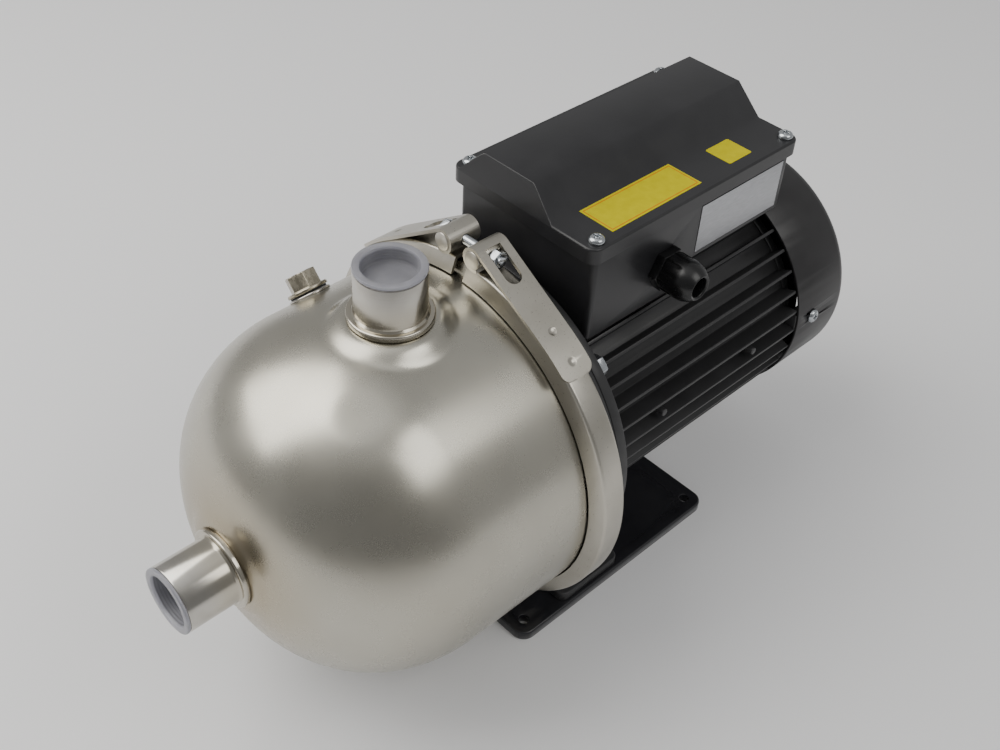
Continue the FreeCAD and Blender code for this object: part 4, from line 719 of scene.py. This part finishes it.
clampBand = {
    "ends": (50.0, 73.0), "footRadius": 110.4, "outerRadius": 120.2, "sheet": 2.0, "shoulders": (53.2, 69.8),
    "bend": 2.25, "bendDrop": 2.24, "bendAngle": 84, "bendSteps": 6, "edge": 0.4, "footWithin": 0.1,
    "joinWithin": 0.02, "gapMiddle": 1.9, "gapHalf": 2.4, "steps": 320,
}


def makeClampBand():
    # one strip rolled to an open V: its outline is spun from one side of the gap round to the other
    (left, right), (start, end) = clampBand["shoulders"], clampBand["ends"]
    foot, outer, sheet = clampBand["footRadius"], clampBand["outerRadius"], clampBand["sheet"]
    bend, centreR = clampBand["bend"], outer - clampBand["bendDrop"]
    rounded = (centreR, clampBand["bendAngle"], clampBand["bendSteps"])
    inner = outer - sheet
    bm = bmesh.new()
    drawOutline(bm, (start, foot), [
        (left, inner), (left + bend, *rounded), (right - bend, outer), (right - bend, *rounded),
        (right, inner), (end, foot), (end - sheet, foot), (right - sheet, inner), (left + sheet, inner),
        (start + sheet, foot)])
    bmesh.ops.remove_doubles(bm, verts=bm.verts, dist=clampBand["joinWithin"])
    bmesh.ops.contextual_create(bm, geom=[vert for vert in bm.verts if len(vert.link_edges) == 1])
    bmesh.ops.edgeloop_fill(bm, edges=bm.edges[:])
    corners = [vert for vert in bm.verts if vert.co.z < foot + clampBand["footWithin"]]
    bmesh.ops.bevel(bm, geom=corners, offset=clampBand["edge"], offset_type="OFFSET", segments=2,
                    profile=0.5, affect="VERTICES", material=-1)
    first = math.radians(clampBand["gapHalf"] - clampBand["gapMiddle"])
    bmesh.ops.rotate(bm, verts=bm.verts, cent=(0, 0, 0), matrix=Matrix.Rotation(first, 3, "X"))
    bmesh.ops.spin(bm, geom=bm.verts[:] + bm.edges[:] + bm.faces[:], cent=(0, 0, 0), axis=(1, 0, 0),
                   angle=math.radians(360 - 2 * clampBand["gapHalf"]), steps=clampBand["steps"],
                   use_merge=False, use_duplicate=False)
    slotName = "stainless_clamp"
    finishPiece("clampBandStrip", bm, [finishes[slotName]], "pump", ["clamp_band"], 30)


makeClampBand()
print("clamp band made")


# Dressed copies of the other pieces

softEdges = {   # the width of each piece's softened edges in mm
    "plug_bosses": 0.25, "vent_plug": 0.35, "drain_plug": 0.35, "clamp_straps": 0.0,
    "clamp_trunnions": 0.5, "clamp_nut": 0.25, "clamp_screw": 0.25, "motor_bracket": 0.8,
    "bracket_bolts": 0.3, "base_plate": 0.4, "base_screws": 0.2, "motor_frame": 0.35,
    "front_end_shield": 0.5, "rear_end_shield": 0.5, "fan_cowl": 0.25, "cowl_screws": 0.2,
    "terminal_box": 0.5, "terminal_lid": 0.0, "lid_screws": 0.2, "gland_body": 0.3, "gland_nut": 0.25,
    "terminal_board": 0.4, "terminal_studs": 0.2, "run_capacitor": 0.0, "lid_gasket": 0.2,
    "nameplate": 0.15, "gland_seal": 0.2, "cooling_fan": 0.3,
}

# the lower dimple of each strap, at its angle round the shaft; the upper one is in the strap's own shape
dimples = {
    "angles": (-38.6, 42.4), "middleX": 61.5, "outerRadius": 122.3, "reach": 2.8, "depth": 0.65,
    "grid": 0.35, "facing": 0.95, "near": 20.0, "skin": 0.5, "steepness": 1.5,
}


def pressDimples(bm):
    # cuts a fine grid into the strap's outer face round each dimple, and presses its points in
    for angle in dimples["angles"]:
        out = Vector(plugWay(angle))
        centre = toFrame @ (Vector((dimples["middleX"], 0, 0)) + out * dimples["outerRadius"])
        reach, grid = dimples["reach"] / 1000, dimples["grid"] / 1000
        lines = math.ceil(reach / grid)
        along = Vector((1, 0, 0))
        for way in (along, out.cross(along)):
            for line in range(-lines, lines + 1):
                bm.normal_update()
                skin = [face for face in bm.faces if face.normal.dot(out) > dimples["facing"]
                        and (face.calc_center_median() - centre).length < dimples["near"] / 1000]
                near = {part for face in skin for part in (face, *face.edges, *face.verts)}
                place = centre + way * line * grid
                bmesh.ops.bisect_plane(bm, geom=list(near), dist=1e-7, plane_co=place, plane_no=way)
        for vert in bm.verts:
            away = vert.co - centre
            height = away.dot(out)
            share = (away - out * height).length / reach
            if share < 1 and abs(height) < dimples["skin"] / 1000:
                vert.co -= out * (dimples["depth"] / 1000 * (1 - share * share) ** dimples["steepness"])


# the fan's moulded disc is widened out to the tips of its blades: a dark sheet of painted shade that fills
# the gaps between the blades and closes the view through the cowl
fanDiscShadeSheet = {"ends": (299.0, 301.5), "radius": 52.0, "wideRadius": 69.6, "slack": 0.2}


def widenFanDiscIntoShadeSheet(bm):
    # painted shade: points on the disc's rim move out to the blade tips, so black fan plastic stands where
    # there is only shade
    (start, end), slack = fanDiscShadeSheet["ends"], fanDiscShadeSheet["slack"]
    for vert in bm.verts:
        point = toFrame.inverted() @ vert.co
        radius = math.hypot(point.y, point.z)
        if abs(radius - fanDiscShadeSheet["radius"]) < slack and start - slack < point.x < end + slack:
            grow = fanDiscShadeSheet["wideRadius"] / radius
            vert.co = toFrame @ Vector((point.x, point.y * grow, point.z * grow))


shapedBy = {"clamp_straps": pressDimples, "cooling_fan": widenFanDiscIntoShadeSheet}
for nodeName, edgeMm in softEdges.items():
    dressed(nodeName, edgeMm, shapedBy.get(nodeName))
print("dressed copies made:", len(softEdges))


# Blank labels on the lid

labels = {
    "thick": 0.12, "corner": 1.2, "cornerSteps": 4, "border": 1.2, "line": 0.8, "lidTop": 141.0,
    "gap": 0.02,
    "wide": [(114.9, -50.0), (190.5, -24.6)], "small": [(219.0, -48.0), (240.0, -29.0)],
}


def makeLabel(name, corners, materials, border):
    # nested outlines, joined in rings, so that the second ring can be a printed line
    (left, near), (right, far) = corners
    bm = bmesh.new()
    loops, inset = [], 0.0
    for width in (0.0, *border):
        inset += width
        level = labels["lidTop"] + labels["gap"]
        ends = [(left + inset, near + inset), (right - inset, near + inset),
                (right - inset, far - inset), (left + inset, far - inset)]
        loops.append([bm.verts.new((x, y, level)) for x, y in ends])
    for ring, (outer, inner) in enumerate(zip(loops, loops[1:])):
        for side in range(4):
            after = (side + 1) % 4
            part = bm.faces.new((outer[side], outer[after], inner[after], inner[side]))
            part.material_index = ring
    bm.faces.new(loops[-1])
    if not border:
        bmesh.ops.bevel(bm, geom=loops[0], offset=labels["corner"], offset_type="OFFSET",
                        segments=labels["cornerSteps"], profile=0.5, affect="VERTICES", material=-1)
    made = bmesh.ops.extrude_face_region(bm, geom=bm.faces[:])
    raised = [item for item in made["geom"] if isinstance(item, bmesh.types.BMVert)]
    bmesh.ops.translate(bm, verts=raised, vec=(0, 0, labels["thick"]))
    finishPiece(name, bm, materials, "lid_body", (), 30)


makeLabel("blankWideLabel", labels["wide"], [yellowVinyl, orangeVinyl], (labels["border"], labels["line"]))
makeLabel("blankSmallLabel", labels["small"], [yellowVinyl], ())
print("labels made")
